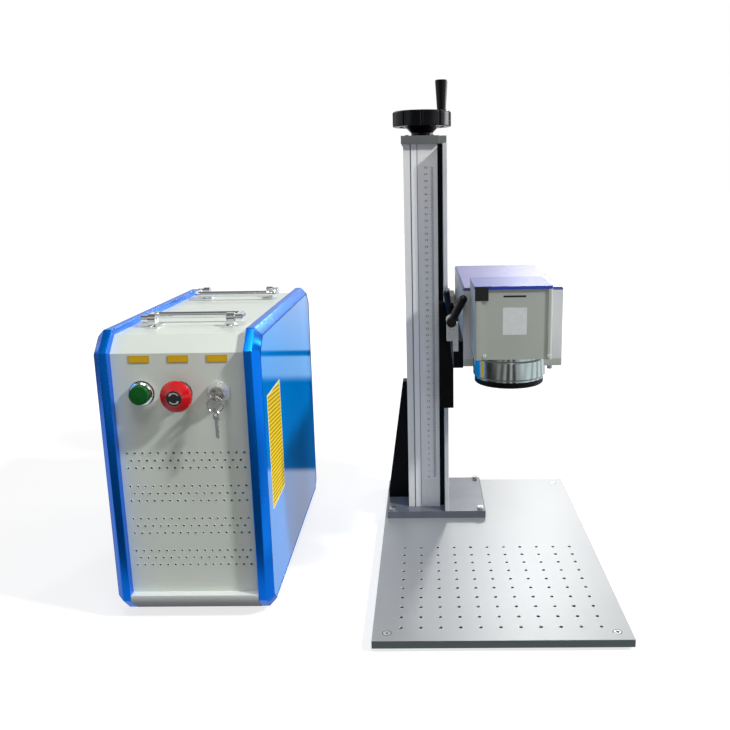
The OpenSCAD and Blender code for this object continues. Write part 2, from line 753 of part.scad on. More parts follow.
// Power supply on the laser source's fins
supply_size = [98, 160, 40];
module power_supply() {
  color("silver") at_cabinet()
    translate([cab_w / 2 - supply_size[0] / 2, cab_d / 2 - supply_size[1] / 2,
               tray_z + sheet + source_size[2]]) difference() {
      cube(supply_size);
      translate([fin_t, -cut, fin_t])
        cube([supply_size[0] - 2 * fin_t, supply_size[1] / 5, supply_size[2]]);
    }
}

// Control board on four pillars that stand on the power supply
board_size = [90, 130, 2];
pillar_h = 12;
module control_board() {
  inset = pillar_h / 2;
  color("seagreen") at_cabinet()
    translate([cab_w / 2 - board_size[0] / 2, cab_d / 2 - supply_size[1] / 2 + supply_size[1] / 5,
               tray_z + sheet + source_size[2] + supply_size[2]]) {
      translate([0, 0, pillar_h]) cube([board_size[0], board_size[1] - inset, board_size[2]]);
      for (x = [inset, board_size[0] - inset], y = [inset, board_size[1] - 2 * inset])
        translate([x, y, 0]) cylinder(d = inset, h = pillar_h + board_size[2]);
      for (i = [0 : 2]) translate([inset * 3 + i * board_size[0] / 4, board_size[1] / 3, pillar_h])
        cube([board_size[0] / 6, board_size[1] / 6, board_size[2] + inset / 2]);
    }
}

// Stand: derived places, measured from the worktable's front left corner
deck_z = table_foot_h + table_t;
flange_y = table_d - flange_rear_gap - flange_d;
column_x = flange_left_gap + column_inset;
column_y = flange_y + rail_span / 2;
column_z = deck_z + flange_t;
column_top = column_z + column_l;
screw_x = column_x + column_w / 2 + journal_d / 4;
rail_x = column_x + column_w + rail_gap;
carriage_x = rail_x + rail_t + slide_gap;
carriage_z = deck_z + carriage_lift;
head_x = carriage_x + carriage_t + bracket_t;
head_y = column_y - head_reach;
head_z = carriage_z + head_rise;

// Worktable plate with its grid of tapped holes and four corner screw seats
table_screw_d = 6;
table_screw_in = 18;
grid_left = (table_w - (grid_cols - 1) * grid_pitch) / 2;
module table_corners() {
  for (x = [table_screw_in, table_w - table_screw_in], y = [table_screw_in, table_d - table_screw_in])
    translate([x, y, 0]) children();
}
module worktable_plate() {
  color("lightgray") at_stand() difference() {
    translate([0, 0, table_foot_h]) cube([table_w, table_d, table_t]);
    for (c = [0 : grid_cols - 1], r = [0 : grid_rows - 1])
      translate([grid_left + c * grid_pitch, grid_front + r * grid_pitch, table_foot_h - cut])
        cylinder(d = grid_hole_d, h = table_t + 2 * cut, $fn = 24);
    table_corners() {
      translate([0, 0, table_foot_h - cut]) cylinder(d = table_screw_d + 2 * slide_gap, h = table_t);
      translate([0, 0, deck_z - table_screw_d / 2]) cylinder(d = table_screw_d * 1.9, h = table_t);
    }
  }
}

// Low rubber feet that the corner screws hold
module table_feet() {
  color("dimgray") at_stand() table_corners() difference() {
    rubber_foot(table_screw_in * 1.2, table_foot_h);
    translate([0, 0, table_foot_h / 2])
      cylinder(d = table_screw_d + 2 * slide_gap, h = table_foot_h);
  }
}

// Socket-headed screws: flush ones at the worktable's corners, capped ones on the flange
flange_screw_d = 8;
flange_screw_in = 8;
module socket_head(d, h) {
  difference() {
    cylinder(d = d * 1.6, h = h);
    translate([0, 0, h / 2]) cylinder(d = d * 0.9, h = h, $fn = 6);
  }
}
module flange_corners() {
  far_x = flange_w - flange_screw_in;
  far_y = flange_d - flange_screw_in;
  for (x = [flange_screw_in, far_x], y = [flange_screw_in, far_y])
    translate([flange_left_gap + x, flange_y + y, 0]) children();
}
module table_screws() {
  color("gray") at_stand() {
    table_corners() translate([0, 0, deck_z - table_screw_d / 2]) {
      socket_head(table_screw_d, table_screw_d / 2);
      translate([0, 0, table_screw_d / 2 - table_t - table_foot_h / 3])
        cylinder(d = table_screw_d, h = table_t + table_foot_h / 3 - table_screw_d / 2);
    }
    flange_corners() {
      translate([0, 0, column_z]) socket_head(flange_screw_d * 0.8, flange_screw_d * 0.6);
      translate([0, 0, deck_z + cut / 2]) cylinder(d = flange_screw_d * 0.8, h = flange_t - cut / 2);
    }
  }
}

// Column flange with screw holes and a pocket for the lower bearing
bearing_d = 30;
bearing_h = 10;
bearing_seat = bearing_h * 0.8;
module column_flange() {
  bore = bearing_d + 2 * run;
  corner = flange_t / 8;
  color("slategray") at_stand() difference() {
    translate([flange_left_gap, flange_y, deck_z]) cube([flange_w, flange_d, flange_t]);
    flange_corners() translate([0, 0, deck_z - cut])
      cylinder(d = flange_screw_d, h = flange_t + 2 * cut);
    translate([screw_x, column_y, column_z - bearing_seat]) cylinder(d = bore, h = bearing_seat + cut);
    for (x = [flange_left_gap, flange_left_gap + flange_w])
      translate([x, flange_y - cut, column_z]) rotate([-90, 45, 0])
        translate([-corner / 2, -corner / 2, 0]) cube([corner, corner, flange_d + 2 * cut]);
  }
}

// Column extrusion: grooved hollow section, open on its right side for the nut's arm
slot_w = 44;
groove_w = 1.6;
groove_in = 11;
tslot_w = 8;
module column_section() {
  difference() {
    translate([0, -column_d / 2]) square([column_w, column_d]);
    translate([column_wall, -column_d / 2 + column_wall])
      square([column_w - 2 * column_wall, column_d - 2 * column_wall]);
    translate([column_w / 2, -slot_w / 2]) square([column_w, slot_w]);
    for (s = [-1, 1]) {
      translate([groove_in - groove_w / 2, s * column_d / 2 - groove_w]) square([groove_w, 2 * groove_w]);
      translate([groove_in * 1.9, s * column_d / 2 - groove_w / 2]) square([groove_w / 2, groove_w]);
      translate([-column_wall / 2, s * column_d / 4 - tslot_w / 2]) square([column_wall, tslot_w]);
    }
  }
}
module column_extrusion() {
  color("silver") at_stand() translate([column_x, column_y, column_z])
    linear_extrude(column_l) column_section();
}

// Black gusset that stiffens the column's left side
gusset_t = 24;
gusset_tip = 8;
gusset_toe = 13;
module gusset_shape() {
  polygon([[0, 0], [-column_inset, 0], [-column_inset, gusset_toe],
           [-gusset_tip, gusset_h], [0, gusset_h]]);
}
module column_gusset() {
  color("black") at_stand() translate([column_x, column_y + gusset_t / 2, column_z])
    rotate([90, 0, 0]) linear_extrude(gusset_t) gusset_shape();
}

// Printed height scale on the extrusion's front
scale_w = 22;
scale_t = 0.5;
scale_low = 48;
scale_l = 515;
module height_scale() {
  color("whitesmoke") at_stand()
    translate([column_x + column_w - scale_w - groove_w * 2, column_y - column_d / 2 - scale_t,
               column_z + scale_low])
      cube([scale_w, scale_t, min(scale_l, column_l - scale_low - cut)]);
}

// Guide rails: two ground strips that stand off the extrusion's right side
module guide_rail() {
  corner = rail_t / 8;
  linear_extrude(column_l) translate([rail_x, -rail_span / 2]) difference() {
    square([rail_t, rail_d]);
    for (x = [0, rail_t]) translate([x, 0]) rotate(45) square(corner, center = true);
  }
}
module guide_rails() {
  color("silver") at_stand() translate([0, column_y, column_z]) for (rear = [0, 1])
    mirror([0, rear, 0]) guide_rail();
}

// Black spacer bars between the extrusion and the guide rails
module rail_spacers() {
  low = slot_w / 2 + groove_w;
  high = min(rail_span / 2 - claw_t - hook_d, column_d / 2);
  color("black") at_stand() for (s = [0, 1]) translate([column_x + column_w, column_y, column_z])
    mirror([0, s, 0]) translate([0, rail_span / 2 - rail_d, 0])
      cube([rail_gap, high - rail_span / 2 + rail_d, column_l]);
}

// Grey column cap with a pocket for the upper bearing
cap_over = 3;
module column_cap() {
  color("gray") at_stand() difference() {
    union() {
      translate([column_x - cap_over, column_y - column_d / 2 - 2 * cap_over, column_top])
        cube([column_w + 2 * cap_over, column_d + 4 * cap_over, cap_t]);
      translate([column_x, column_y - column_d / 2 + cap_over, column_top])
        cube([column_w + rail_gap + rail_t, column_d - 2 * cap_over, cap_t]);
    }
    translate([screw_x, column_y, column_top - cut]) {
      cylinder(d = bearing_d + 2 * run, h = bearing_seat + cut);
      cylinder(d = journal_d + 2 * edge, h = cap_t + 2 * cut);
    }
  }
}

// Two bearings round the screw's journals
module screw_bearings() {
  color("lightsteelblue") at_stand()
    for (z = [column_z - bearing_seat, column_top + bearing_seat - bearing_h])
      translate([screw_x, column_y, z]) rotate_extrude()
        translate([journal_d / 2 + run, 0])
          square([(bearing_d - journal_d) / 2 - run, bearing_h]);
}

// Lead screw with a journal at each end
module lead_screw() {
  low = column_z - bearing_seat + slide_gap;
  body_low = column_z - bearing_seat + bearing_h + slide_gap;
  body_high = column_top + bearing_seat - bearing_h - slide_gap;
  high = column_top + cap_t + wheel_lift + wheel_rim_h * 0.4;
  color("silver") at_stand() translate([screw_x, column_y, 0]) {
    translate([0, 0, low]) cylinder(d = journal_d, h = high - low);
    translate([0, 0, body_low]) cylinder(d = screw_d, h = body_high - body_low);
  }
}

// Fluted handwheel with a flared hub and a pin for the crank handle
wheel_z = column_top + cap_t;
crank_pin_d = 6;
crank_boss_d = 17;
hub_d = 34;
module handwheel() {
  rim_r = wheel_d / 2;
  rim_in = rim_r - wheel_rim_h * 0.45;
  flute_r = wheel_rim_h / 6;
  rim_top = wheel_lift + wheel_rim_h;
  web_z = wheel_lift + wheel_rim_h * 0.15;
  web_top = wheel_lift + wheel_rim_h * 0.6;
  color("black") at_stand() translate([screw_x, column_y, wheel_z]) difference() {
    union() {
      difference() {
        translate([0, 0, wheel_lift]) rotate_extrude() polygon([
          [rim_in, 0], [rim_r - edge, 0], [rim_r, edge], [rim_r, wheel_rim_h - 2 * edge],
          [rim_r - 2 * edge, wheel_rim_h], [rim_in, wheel_rim_h]]);
        for (i = [0 : wheel_flutes - 1]) rotate((i + 0.5) * 360 / wheel_flutes)
          translate([rim_r + flute_r * 0.55, 0, wheel_lift - cut])
            cylinder(r = flute_r, h = wheel_rim_h + 2 * cut);
      }
      rotate_extrude() polygon([
        [0, slide_gap], [hub_d / 2, slide_gap], [hub_d / 2, wheel_lift * 0.42],
        [hub_d * 0.68, wheel_lift * 0.8], [hub_d * 0.85, wheel_lift], [rim_in + edge, web_z],
        [rim_in + edge, web_top], [hub_d / 2, web_top],
        [hub_d * 0.4, wheel_lift + wheel_rim_h * 0.8], [0, wheel_lift + wheel_rim_h * 0.8]]);
      translate([crank_r, 0, web_z]) cylinder(d = crank_boss_d, h = rim_top - web_z);
      translate([crank_r, 0, web_z]) cylinder(d = crank_pin_d, h = rim_top + crank_h * 0.8 - web_z);
    }
    translate([0, 0, -cut])
      cylinder(d = journal_d + 2 * run, h = wheel_lift + wheel_rim_h * 0.4 + 2 * cut);
  }
}

// Tapered crank handle that turns on its pin
module crank_grip() {
  low = wheel_lift + wheel_rim_h + slide_gap;
  high = wheel_lift + wheel_rim_h + crank_h;
  neck = crank_d * 0.36;
  color("black") at_stand() translate([screw_x + crank_r, column_y, wheel_z]) difference() {
    rotate_extrude() polygon([
      [0, low], [neck + edge, low], [neck + edge, low + 2 * edge], [neck, low + 3 * edge],
      [crank_d / 2, high - edge], [crank_d / 2 - edge, high], [0, high]]);
    translate([0, 0, low - cut]) cylinder(d = crank_pin_d + 2 * run, h = crank_h * 0.8 + cut);
  }
}

// Carriage: a black plate whose two claws hook round the guide rails
lock_in = 18;
lock_stud_d = 6;
module claw_section() {
  inner = rail_span / 2 + slide_gap;
  outer = inner + claw_t;
  hook_x = rail_gap - 2 * slide_gap;
  translate([rail_x - slide_gap - hook_x, inner])
    square([carriage_x - rail_x + 2 * slide_gap + hook_x, claw_t]);
  translate([rail_x - slide_gap - hook_x, inner - hook_d]) square([hook_x, hook_d + cut]);
  translate([carriage_x, 0]) square([carriage_t, outer]);
}
lock_x = carriage_x + carriage_t / 4;
lock_z = carriage_z + carriage_h - lock_in;
module carriage() {
  face = rail_span / 2 + slide_gap + claw_t;
  color("black") at_stand() difference() {
    translate([0, column_y, carriage_z]) linear_extrude(carriage_h) {
      claw_section();
      mirror([0, 1]) claw_section();
    }
    translate([lock_x, column_y - face - cut, lock_z]) back_rod(lock_stud_d + 2 * run, claw_t);
  }
}

// Nut round the lead screw, with an arm out to the carriage
nut_w = 30;
nut_h = 40;
module lead_nut() {
  mid = carriage_z + carriage_h / 2;
  color("peru") at_stand() difference() {
    union() {
      translate([screw_x, column_y, mid - nut_h / 2]) cylinder(d = nut_w, h = nut_h);
      translate([screw_x, column_y - nut_w / 3, mid - nut_h / 2])
        cube([carriage_x - screw_x, nut_w * 2 / 3, nut_h]);
    }
    translate([screw_x, column_y, mid - nut_h / 2 - cut])
      cylinder(d = screw_d + 2 * run, h = nut_h + 2 * cut);
  }
}

// Clamping lever: stud, round hub and a tapered arm that leans by lean degrees to the right
module clamp_lever(hub, arm_l, lean, stud_l) {
  translate([0, -slide_gap, 0]) rotate([90, 0, 0]) cylinder(d = hub, h = hub);
  translate([0, -slide_gap, 0]) back_rod(lock_stud_d, stud_l);
  translate([0, -slide_gap - hub * 0.5, 0]) rotate([0, lean, 0]) {
    cylinder(d1 = hub * 0.75, d2 = hub * 0.9, h = arm_l);
    translate([0, 0, arm_l]) sphere(d = hub * 0.9);
  }
}
module carriage_lock_lever() {
  face = rail_span / 2 + slide_gap + claw_t;
  color("black") at_stand() translate([lock_x, column_y - face, lock_z])
    clamp_lever(lever_hub * 0.85, lever_l, carriage_lever_lean, claw_t * 0.7);
}
lever_hub = 13;
lever_l = 34;
carriage_lever_lean = -8;

// Black bracket: a plate on the carriage, a shelf under the head, and an arm along its side
arm_h = 37;
arm_w = 13;
shelf_t = 12;
shelf_d = 120;
shelf_w = 96;
plate_drop = 40;
clamp_d = 16;
notch_h = 14;
module head_bracket() {
  plate_y = column_y - rail_span / 2 - slide_gap - claw_t;
  plate_x = head_x - bracket_t;
  plate_l = rail_span + 2 * claw_t + 2 * slide_gap;
  color("black") at_stand() difference() {
    union() {
      translate([plate_x, plate_y, head_z - plate_drop])
        cube([bracket_t, plate_l, plate_drop + arm_h * 1.6]);
      translate([head_x - arm_w, head_y, head_z - shelf_t / 6]) cube([arm_w, plate_y - head_y, arm_h]);
      translate([plate_x, head_y, head_z - shelf_t / 6])
        cube([bracket_t, plate_y - head_y + cut, arm_h]);
      translate([plate_x, plate_y, head_z - shelf_t]) cube([shelf_w, shelf_d, shelf_t]);
      for (y = [plate_y, plate_y + shelf_d - bracket_t])
        translate([head_x - cut, y + bracket_t, head_z - shelf_t]) rotate([90, 0, 0])
          linear_extrude(bracket_t)
            polygon([[0, cut], [shelf_w * 0.7, cut], [shelf_w * 0.7, 0], [0, shelf_t - plate_drop]]);
    }
    translate([head_x - arm_w - cut, head_y - cut, head_z - shelf_t / 6 + arm_h - notch_h])
      cube([arm_w * 0.5 + cut, clamp_d + cut, notch_h + cut]);
  }
}

// Silver clamp block in the arm's notch, with an overhanging jaw
jaw_w = 15.5;
jaw_h = 24;
clamp_z = head_z - shelf_t / 6 + arm_h - notch_h;
clamp_x = head_x - arm_w * 0.5;
clamp_top = clamp_z + notch_h + jaw_h + slide_gap;
clamp_screw_x = clamp_x - jaw_w * 0.62;
clamp_screw_z = clamp_top + lever_hub / 4;
module clamp_block() {
  color("gainsboro") at_stand() translate([0, head_y, 0]) difference() {
    union() {
      translate([clamp_x - arm_w * 0.5 - slide_gap, 0, clamp_z])
        cube([arm_w * 0.5 + slide_gap, clamp_d, clamp_top - clamp_z]);
      translate([clamp_x - jaw_w, 0, clamp_top - jaw_h]) cube([jaw_w, clamp_d, jaw_h]);
      translate([clamp_screw_x, 0, clamp_screw_z]) back_rod(lever_hub, clamp_d);
    }
    translate([clamp_screw_x, -cut, clamp_screw_z])
      back_rod(lock_stud_d + 2 * run, clamp_d * 0.9);
  }
}
head_lever_lean = 27;
module head_lock_lever() {
  color("black") at_stand() translate([clamp_screw_x, head_y, clamp_screw_z])
    clamp_lever(lever_hub, lever_l, head_lever_lean, clamp_d * 0.7);
}

// Base plate of the head, with an outlet for the aiming pointer in its front corner
pointer_d = 7;
pointer_in = 14;
module head_base_plate() {
  color("silver") at_stand() {
    translate([head_x, head_y, head_z]) cube([head_w, head_l, head_base_t]);
    translate([head_x + head_w - pointer_in, head_y + pointer_in, head_z - pointer_d])
      difference() {
        cylinder(d = pointer_d, h = pointer_d);
        translate([0, 0, -cut]) cylinder(d = pointer_d / 2, h = pointer_d / 2 + cut);
      }
  }
}

// Head cover: two side walls and a roof in one folded sheet
head_wall = 2.5;
end_t = 4;
lid_t = 4;
module head_cover() {
  color("silver") at_stand() translate([head_x, head_y + end_t, head_z + head_base_t])
    rear_plate_xz(head_l - 2 * end_t) difference() {
      square([head_w, head_h - head_base_t - lid_t]);
      translate([head_wall, -cut])
        square([head_w - 2 * head_wall, head_h - head_base_t - lid_t - head_wall + cut]);
    }
}

// Blue lid of the head
module head_lid() {
  color("slateblue") at_stand() translate([head_x, head_y, head_z + head_h - lid_t])
    rear_plate_xz(head_l) polygon([[0, 0], [head_w, 0], [head_w, lid_t / 2],
      [head_w - lid_t / 2, lid_t], [lid_t / 2, lid_t], [0, lid_t / 2]]);
}

// Beam height and offset inside the head
beam_x = head_x + galvo_x + galvo_w * 0.21;
beam_z = head_z + galvo_rise + galvo_h * 0.38;
beam_hole_d = 16;

// Front and rear end plates of the head; the rear one carries the fibre gland and the collimator
module head_end_plates() {
  plate_h = head_h - head_base_t - lid_t;
  rear_y = head_y + head_l - end_t;
  tube_d = 34;
  tube_l = head_l * 0.45;
  color("silver") at_stand() {
    difference() {
      translate([head_x, head_y, head_z + head_base_t]) cube([head_w, end_t, plate_h]);
      translate([beam_x, head_y - cut, beam_z]) back_rod(beam_hole_d, end_t + 2 * cut);
    }
    difference() {
      translate([head_x, rear_y, head_z + head_base_t]) cube([head_w, end_t, plate_h]);
      translate([beam_x, rear_y - cut, beam_z]) back_rod(gland_d, end_t + 2 * cut);
    }
    translate([beam_x, rear_y + end_t + run, beam_z]) rotate([-90, 0, 0])
      cable_gland(end_t + 2 * run);
    translate([beam_x, rear_y - gland_d / 3 - tube_l - end_t, beam_z]) difference() {
      union() {
        back_rod(tube_d, tube_l);
        translate([-tube_d / 2, tube_l * 0.2, head_z + head_base_t - beam_z])
          cube([tube_d, tube_l * 0.3, beam_z - head_z - head_base_t]);
      }
      translate([0, -cut, 0]) back_rod(beam_hole_d, tube_l + 2 * cut);
    }
  }
}

// Galvo case: a thick extrusion with corner ribs, a beam inlet behind and a lens seat below
case_wall = 7;
rib_w = 9;
rib_in = 1.8;
galvo_y = head_y - galvo_d;
galvo_left = head_x + galvo_x - galvo_w / 2;
galvo_z = head_z + galvo_rise;
case_h = galvo_h - lid_t;
lens_x = galvo_left + galvo_w / 2;
lens_y = galvo_y + galvo_d / 2;
lens_neck_d = lens_d * 0.8;
slit_w = 27.5;
slit_h = 2.4;
module galvo_case() {
  color("silver") at_stand() difference() {
    translate([galvo_left, galvo_y, galvo_z]) linear_extrude(case_h) difference() {
      offset_square(galvo_w, galvo_d, rib_w / 3);
      translate([rib_w, -cut]) square([galvo_w - 1.6 * rib_w, rib_in + cut]);
    }
    translate([galvo_left + case_wall, galvo_y + case_wall, galvo_z + case_wall])
      cube([galvo_w - 2 * case_wall, galvo_d - 2 * case_wall, case_h]);
    translate([lens_x, lens_y, galvo_z - cut])
      cylinder(d = lens_neck_d + 2 * run, h = case_wall + 2 * cut);
    translate([beam_x, galvo_y + galvo_d / 2, beam_z]) back_rod(beam_hole_d, galvo_d);
    translate([galvo_left + galvo_w * 0.37, galvo_y - cut, galvo_z + case_h * 0.9 - slit_h / 2])
      cube([slit_w, cut + 2 * rib_in, slit_h]);
  }
}
module offset_square(w, d, r) {
  difference() {
    square([w, d]);
    for (x = [0, 1], y = [0, 1]) translate([x * w, y * d]) mirror([x, 0]) mirror([0, y]) difference() {
      translate([-cut, -cut]) square(r + cut);
      translate([r, r]) circle(r = r);
    }
  }
}

// Blue lid of the galvo case
module galvo_lid() {
  color("mediumblue") at_stand() translate([galvo_left, galvo_y, galvo_z + case_h])
    linear_extrude(lid_t) offset_square(galvo_w, galvo_d, rib_w / 3);
}

// Two scanner motors, each in its clamp, inside the galvo case
motor_d = 18;
motor_l = 26;
mirror_gap = 8;
galvo_shaft_d = 3;
module galvo_motors() {
  inner_y = galvo_y + case_wall;
  inner_top = galvo_z + case_h;
  seat = motor_d * 1.1;
  right = galvo_left + galvo_w - case_wall;
  color("gray") at_stand() {
    difference() {
      union() {
        translate([lens_x, inner_y, beam_z]) back_rod(motor_d, motor_l);
        translate([lens_x - seat / 2, inner_y, galvo_z + case_wall])
          cube([seat, motor_l / 2, beam_z - galvo_z - case_wall]);
      }
      translate([lens_x, inner_y + motor_l / 2, beam_z]) back_rod(galvo_shaft_d + 2 * run, motor_l);
    }
    difference() {
      union() {
        translate([beam_x, lens_y, beam_z + mirror_gap])
          cylinder(d = motor_d, h = inner_top - beam_z - mirror_gap);
        translate([beam_x, lens_y - seat / 2, inner_top - motor_l / 2])
          cube([right - beam_x, seat, motor_l / 2]);
      }
      translate([beam_x, lens_y, beam_z]) cylinder(d = galvo_shaft_d + 2 * run, h = motor_l);
    }
  }
}

// Scanner mirrors: a thin plate on a shaft, at 45 degrees to the beam
mirror_w = 12;
mirror_t = 1.6;
module galvo_mirror_x() {
  color("lightcyan") at_stand() translate([beam_x, lens_y, beam_z]) {
    rotate(45) translate([-mirror_w / 2, -mirror_t / 2, -mirror_w / 2])
      cube([mirror_w, mirror_t, mirror_w]);
    cylinder(d = galvo_shaft_d, h = motor_l - edge);
  }
}
module galvo_mirror_y() {
  reach = lens_y - galvo_y - case_wall - motor_l / 2 - edge;
  color("lightcyan") at_stand() translate([lens_x, lens_y, beam_z]) {
    rotate([0, 45, 0]) translate([-mirror_w / 2, -mirror_w / 2, -mirror_t / 2])
      cube([mirror_w, mirror_w, mirror_t]);
    translate([0, -reach, 0]) back_rod(galvo_shaft_d, reach);
  }
}

// Scan lens: chrome barrel with a neck in the case and a glass element near its mouth
glass_t = 6;
lens_wall = 8;
module scan_lens() {
  r = lens_d / 2;
  neck_r = lens_neck_d / 2;
  bore_r = neck_r - lens_wall / 2;
  groove = lens_h / 16;
  color("whitesmoke") at_stand() translate([lens_x, lens_y, galvo_z - lens_h]) rotate_extrude() polygon([
    [0, lens_ring_h], [bore_r, lens_ring_h], [bore_r, 0], [r - groove, 0], [r - groove, groove],
    [r, 2 * groove], [r, lens_h - 3 * groove], [r - groove, lens_h - 2 * groove],
    [r - groove, lens_h], [neck_r, lens_h], [neck_r, lens_h + case_wall - slide_gap],
    [bore_r, lens_h + case_wall - slide_gap], [bore_r, lens_ring_h + glass_t],
    [0, lens_ring_h + 1.4 * glass_t]]);
}

// Black ring that closes the lens barrel, open in the middle
module lens_ring() {
  r = lens_d / 2 - lens_h / 16;
  lip = lens_ring_h / 5;
  bore_r = lens_neck_d / 2 - lens_wall / 2;
  color("black") at_stand() translate([lens_x, lens_y, galvo_z - lens_h - lens_ring_h]) rotate_extrude()
    polygon([[bore_r + lip, 0], [r - lip, 0], [r, lip], [r, lens_ring_h], [bore_r, lens_ring_h],
             [bore_r, lip]]);
}

left_cheek();
right_cheek();
side_panels();
front_top_cover();
base_tray();
rear_panel();
cabinet_feet();
handle_saddles();
front_handle();
rear_handle();
start_bezel();
start_cap();
estop_collar();
estop_stem();
estop_cap();
key_switch_barrel();
key_plug();
key_ring();
switch_blocks();
legend_plates();
power_inlet();
power_rocker();
fan_frame();
fan_rotor();
cabinet_gland();
control_sockets();
laser_source();
power_supply();
control_board();
worktable_plate();
table_feet();
table_screws();
column_flange();
column_extrusion();
column_gusset();
height_scale();
guide_rails();
rail_spacers();
column_cap();
screw_bearings();
lead_screw();
handwheel();
crank_grip();
carriage();
lead_nut();
carriage_lock_lever();
head_bracket();
clamp_block();
head_lock_lever();
head_base_plate();
head_cover();
head_lid();
head_end_plates();
galvo_case();
galvo_lid();
galvo_motors();
galvo_mirror_x();
galvo_mirror_y();
scan_lens();
lens_ring();
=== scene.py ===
"""Laser marking machine: a blue and white control cabinet, and a column stand with a marking head."""
import math

import bmesh
import bpy
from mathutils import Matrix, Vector


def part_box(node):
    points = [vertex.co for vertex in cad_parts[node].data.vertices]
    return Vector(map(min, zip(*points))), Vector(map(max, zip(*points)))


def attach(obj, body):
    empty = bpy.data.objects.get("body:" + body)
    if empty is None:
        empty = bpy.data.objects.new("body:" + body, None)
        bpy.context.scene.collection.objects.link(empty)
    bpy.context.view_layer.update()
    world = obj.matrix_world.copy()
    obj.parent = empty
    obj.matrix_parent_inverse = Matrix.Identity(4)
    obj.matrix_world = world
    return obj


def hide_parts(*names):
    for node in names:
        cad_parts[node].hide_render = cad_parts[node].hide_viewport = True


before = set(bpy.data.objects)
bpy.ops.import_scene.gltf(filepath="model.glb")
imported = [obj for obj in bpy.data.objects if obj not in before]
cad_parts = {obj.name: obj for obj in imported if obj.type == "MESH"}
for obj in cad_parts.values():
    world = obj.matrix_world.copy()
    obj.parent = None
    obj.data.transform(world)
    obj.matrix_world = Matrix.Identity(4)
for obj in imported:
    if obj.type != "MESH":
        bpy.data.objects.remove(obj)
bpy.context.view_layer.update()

# Cabinet cheeks. Two moulded frames with a broad bevel round the outer face, sprayed in metallic
# blue lacquer with a faint orange peel. They clamp the folded cover between them.
CHEEK_BLUE = (0.0, 0.22, 0.98)
CHEEK_EDGE = 0.0012
ORANGE_PEEL = 0.00001
EDGE_STEPS = 2
SHARP_ANGLE = math.radians(38)
LARGE_FACES_FIRST = 100
WELD_GAP = 1e-6
CLOUDS = (0.35, 0.7)


class Wire:
    """One output of a net's nodes, so that masks can be written as sums."""

    def __init__(self, net, socket):
        self.net = net
        self.socket = socket

    def maths(self, operation, *values):
        return self.net.node("ShaderNodeMath", {"operation": operation}, dict(enumerate(values)))

    def __add__(self, other):
        return self.maths("ADD", self, other)

    __radd__ = __add__

    def __sub__(self, other):
        return self.maths("SUBTRACT", self, other)

    def __rsub__(self, other):
        return self.maths("SUBTRACT", other, self)

    def __mul__(self, other):
        return self.maths("MULTIPLY", self, other)

    __rmul__ = __mul__

    def __truediv__(self, other):
        return self.maths("DIVIDE", self, other)

    def __gt__(self, other):
        return self.maths("GREATER_THAN", self, other)

    def __lt__(self, other):
        return self.maths("LESS_THAN", self, other)

    def wave(self, pitch):
        """A number that rises and falls once in every pitch, from 0 to 1."""
        return self.maths("PINGPONG", self, pitch / 2) / (pitch / 2)

    def away(self, place):
        """Distance from a place."""
        return self.maths("ABSOLUTE", self - place)

    def rise(self, low, high):
        """0 below low and 1 above high, with a straight slope between them."""
        return self.net.node("ShaderNodeMapRange", {}, {"Value": self, "From Min": low, "From Max": high})


class Net:
    """A tree of shader nodes, and one method that adds any node to it."""

    def __init__(self, tree, shader):
        self.tree = tree
        self.shader = shader

    def set(self, name, value):
        """Feeds one of the shader's own sockets."""
        if isinstance(value, Wire):
            self.tree.links.new(value.socket, self.shader.inputs[name])
        else:
            self.shader.inputs[name].default_value = value

    def node(self, kind, settings, sockets, out=0):
        new = self.tree.nodes.new(kind)
        for name, value in settings.items():
            if name == "stops":
                while len(new.color_ramp.elements) < len(value):
                    new.color_ramp.elements.new(1.0)
                for stop, (place, shade) in zip(new.color_ramp.elements, value):
                    stop.position = place
                    stop.color = (*shade, 1.0)
            else:
                setattr(new, name, value)
        for key, value in sockets.items():
            if isinstance(value, Wire):
                self.tree.links.new(value.socket, new.inputs[key])
            else:
                new.inputs[key].default_value = value
        return Wire(self, new.outputs[out])

    def axis(self, letter, space="Object"):
        """One coordinate of the Object, of the Normal, or of the Generated direction of a sky."""
        place = self.node("ShaderNodeTexCoord", {}, {}, out=space)
        return self.node("ShaderNodeSeparateXYZ", {}, {"Vector": place}, out=letter)

    def strip(self, letter, span, rim=0.0):
        """1 inside a span along an axis, less a rim at both its ends, and 0 outside."""
        return self.axis(letter).away(sum(span) / 2) < (span[1] - span[0]) / 2 - rim

    def noise(self, scale, detail=3.0, stretch=(1, 1, 1)):
        place = self.node("ShaderNodeTexCoord", {}, {}, out="Object")
        place = self.node("ShaderNodeVectorMath", {"operation": "MULTIPLY"}, {0: place, 1: stretch})
        return self.node("ShaderNodeTexNoise", {}, {"Vector": place, "Scale": scale, "Detail": detail})

    def mixed(self, mask, low, high):
        """The colour low where the mask is 0, high where it is 1, and a blend between them."""
        factor, first, second, result = 0, 6, 7, 2
        colours = {factor: mask}
        for socket, colour in ((first, low), (second, high)):
            colours[socket] = colour if isinstance(colour, Wire) else (*colour, 1.0)
        return self.node("ShaderNodeMix", {"data_type": "RGBA"}, colours, out=result)

    def bump(self, height, distance, strength=1.0):
        sockets = {"Height": height, "Distance": distance, "Strength": strength}
        self.set("Normal", self.node("ShaderNodeBump", {}, sockets))


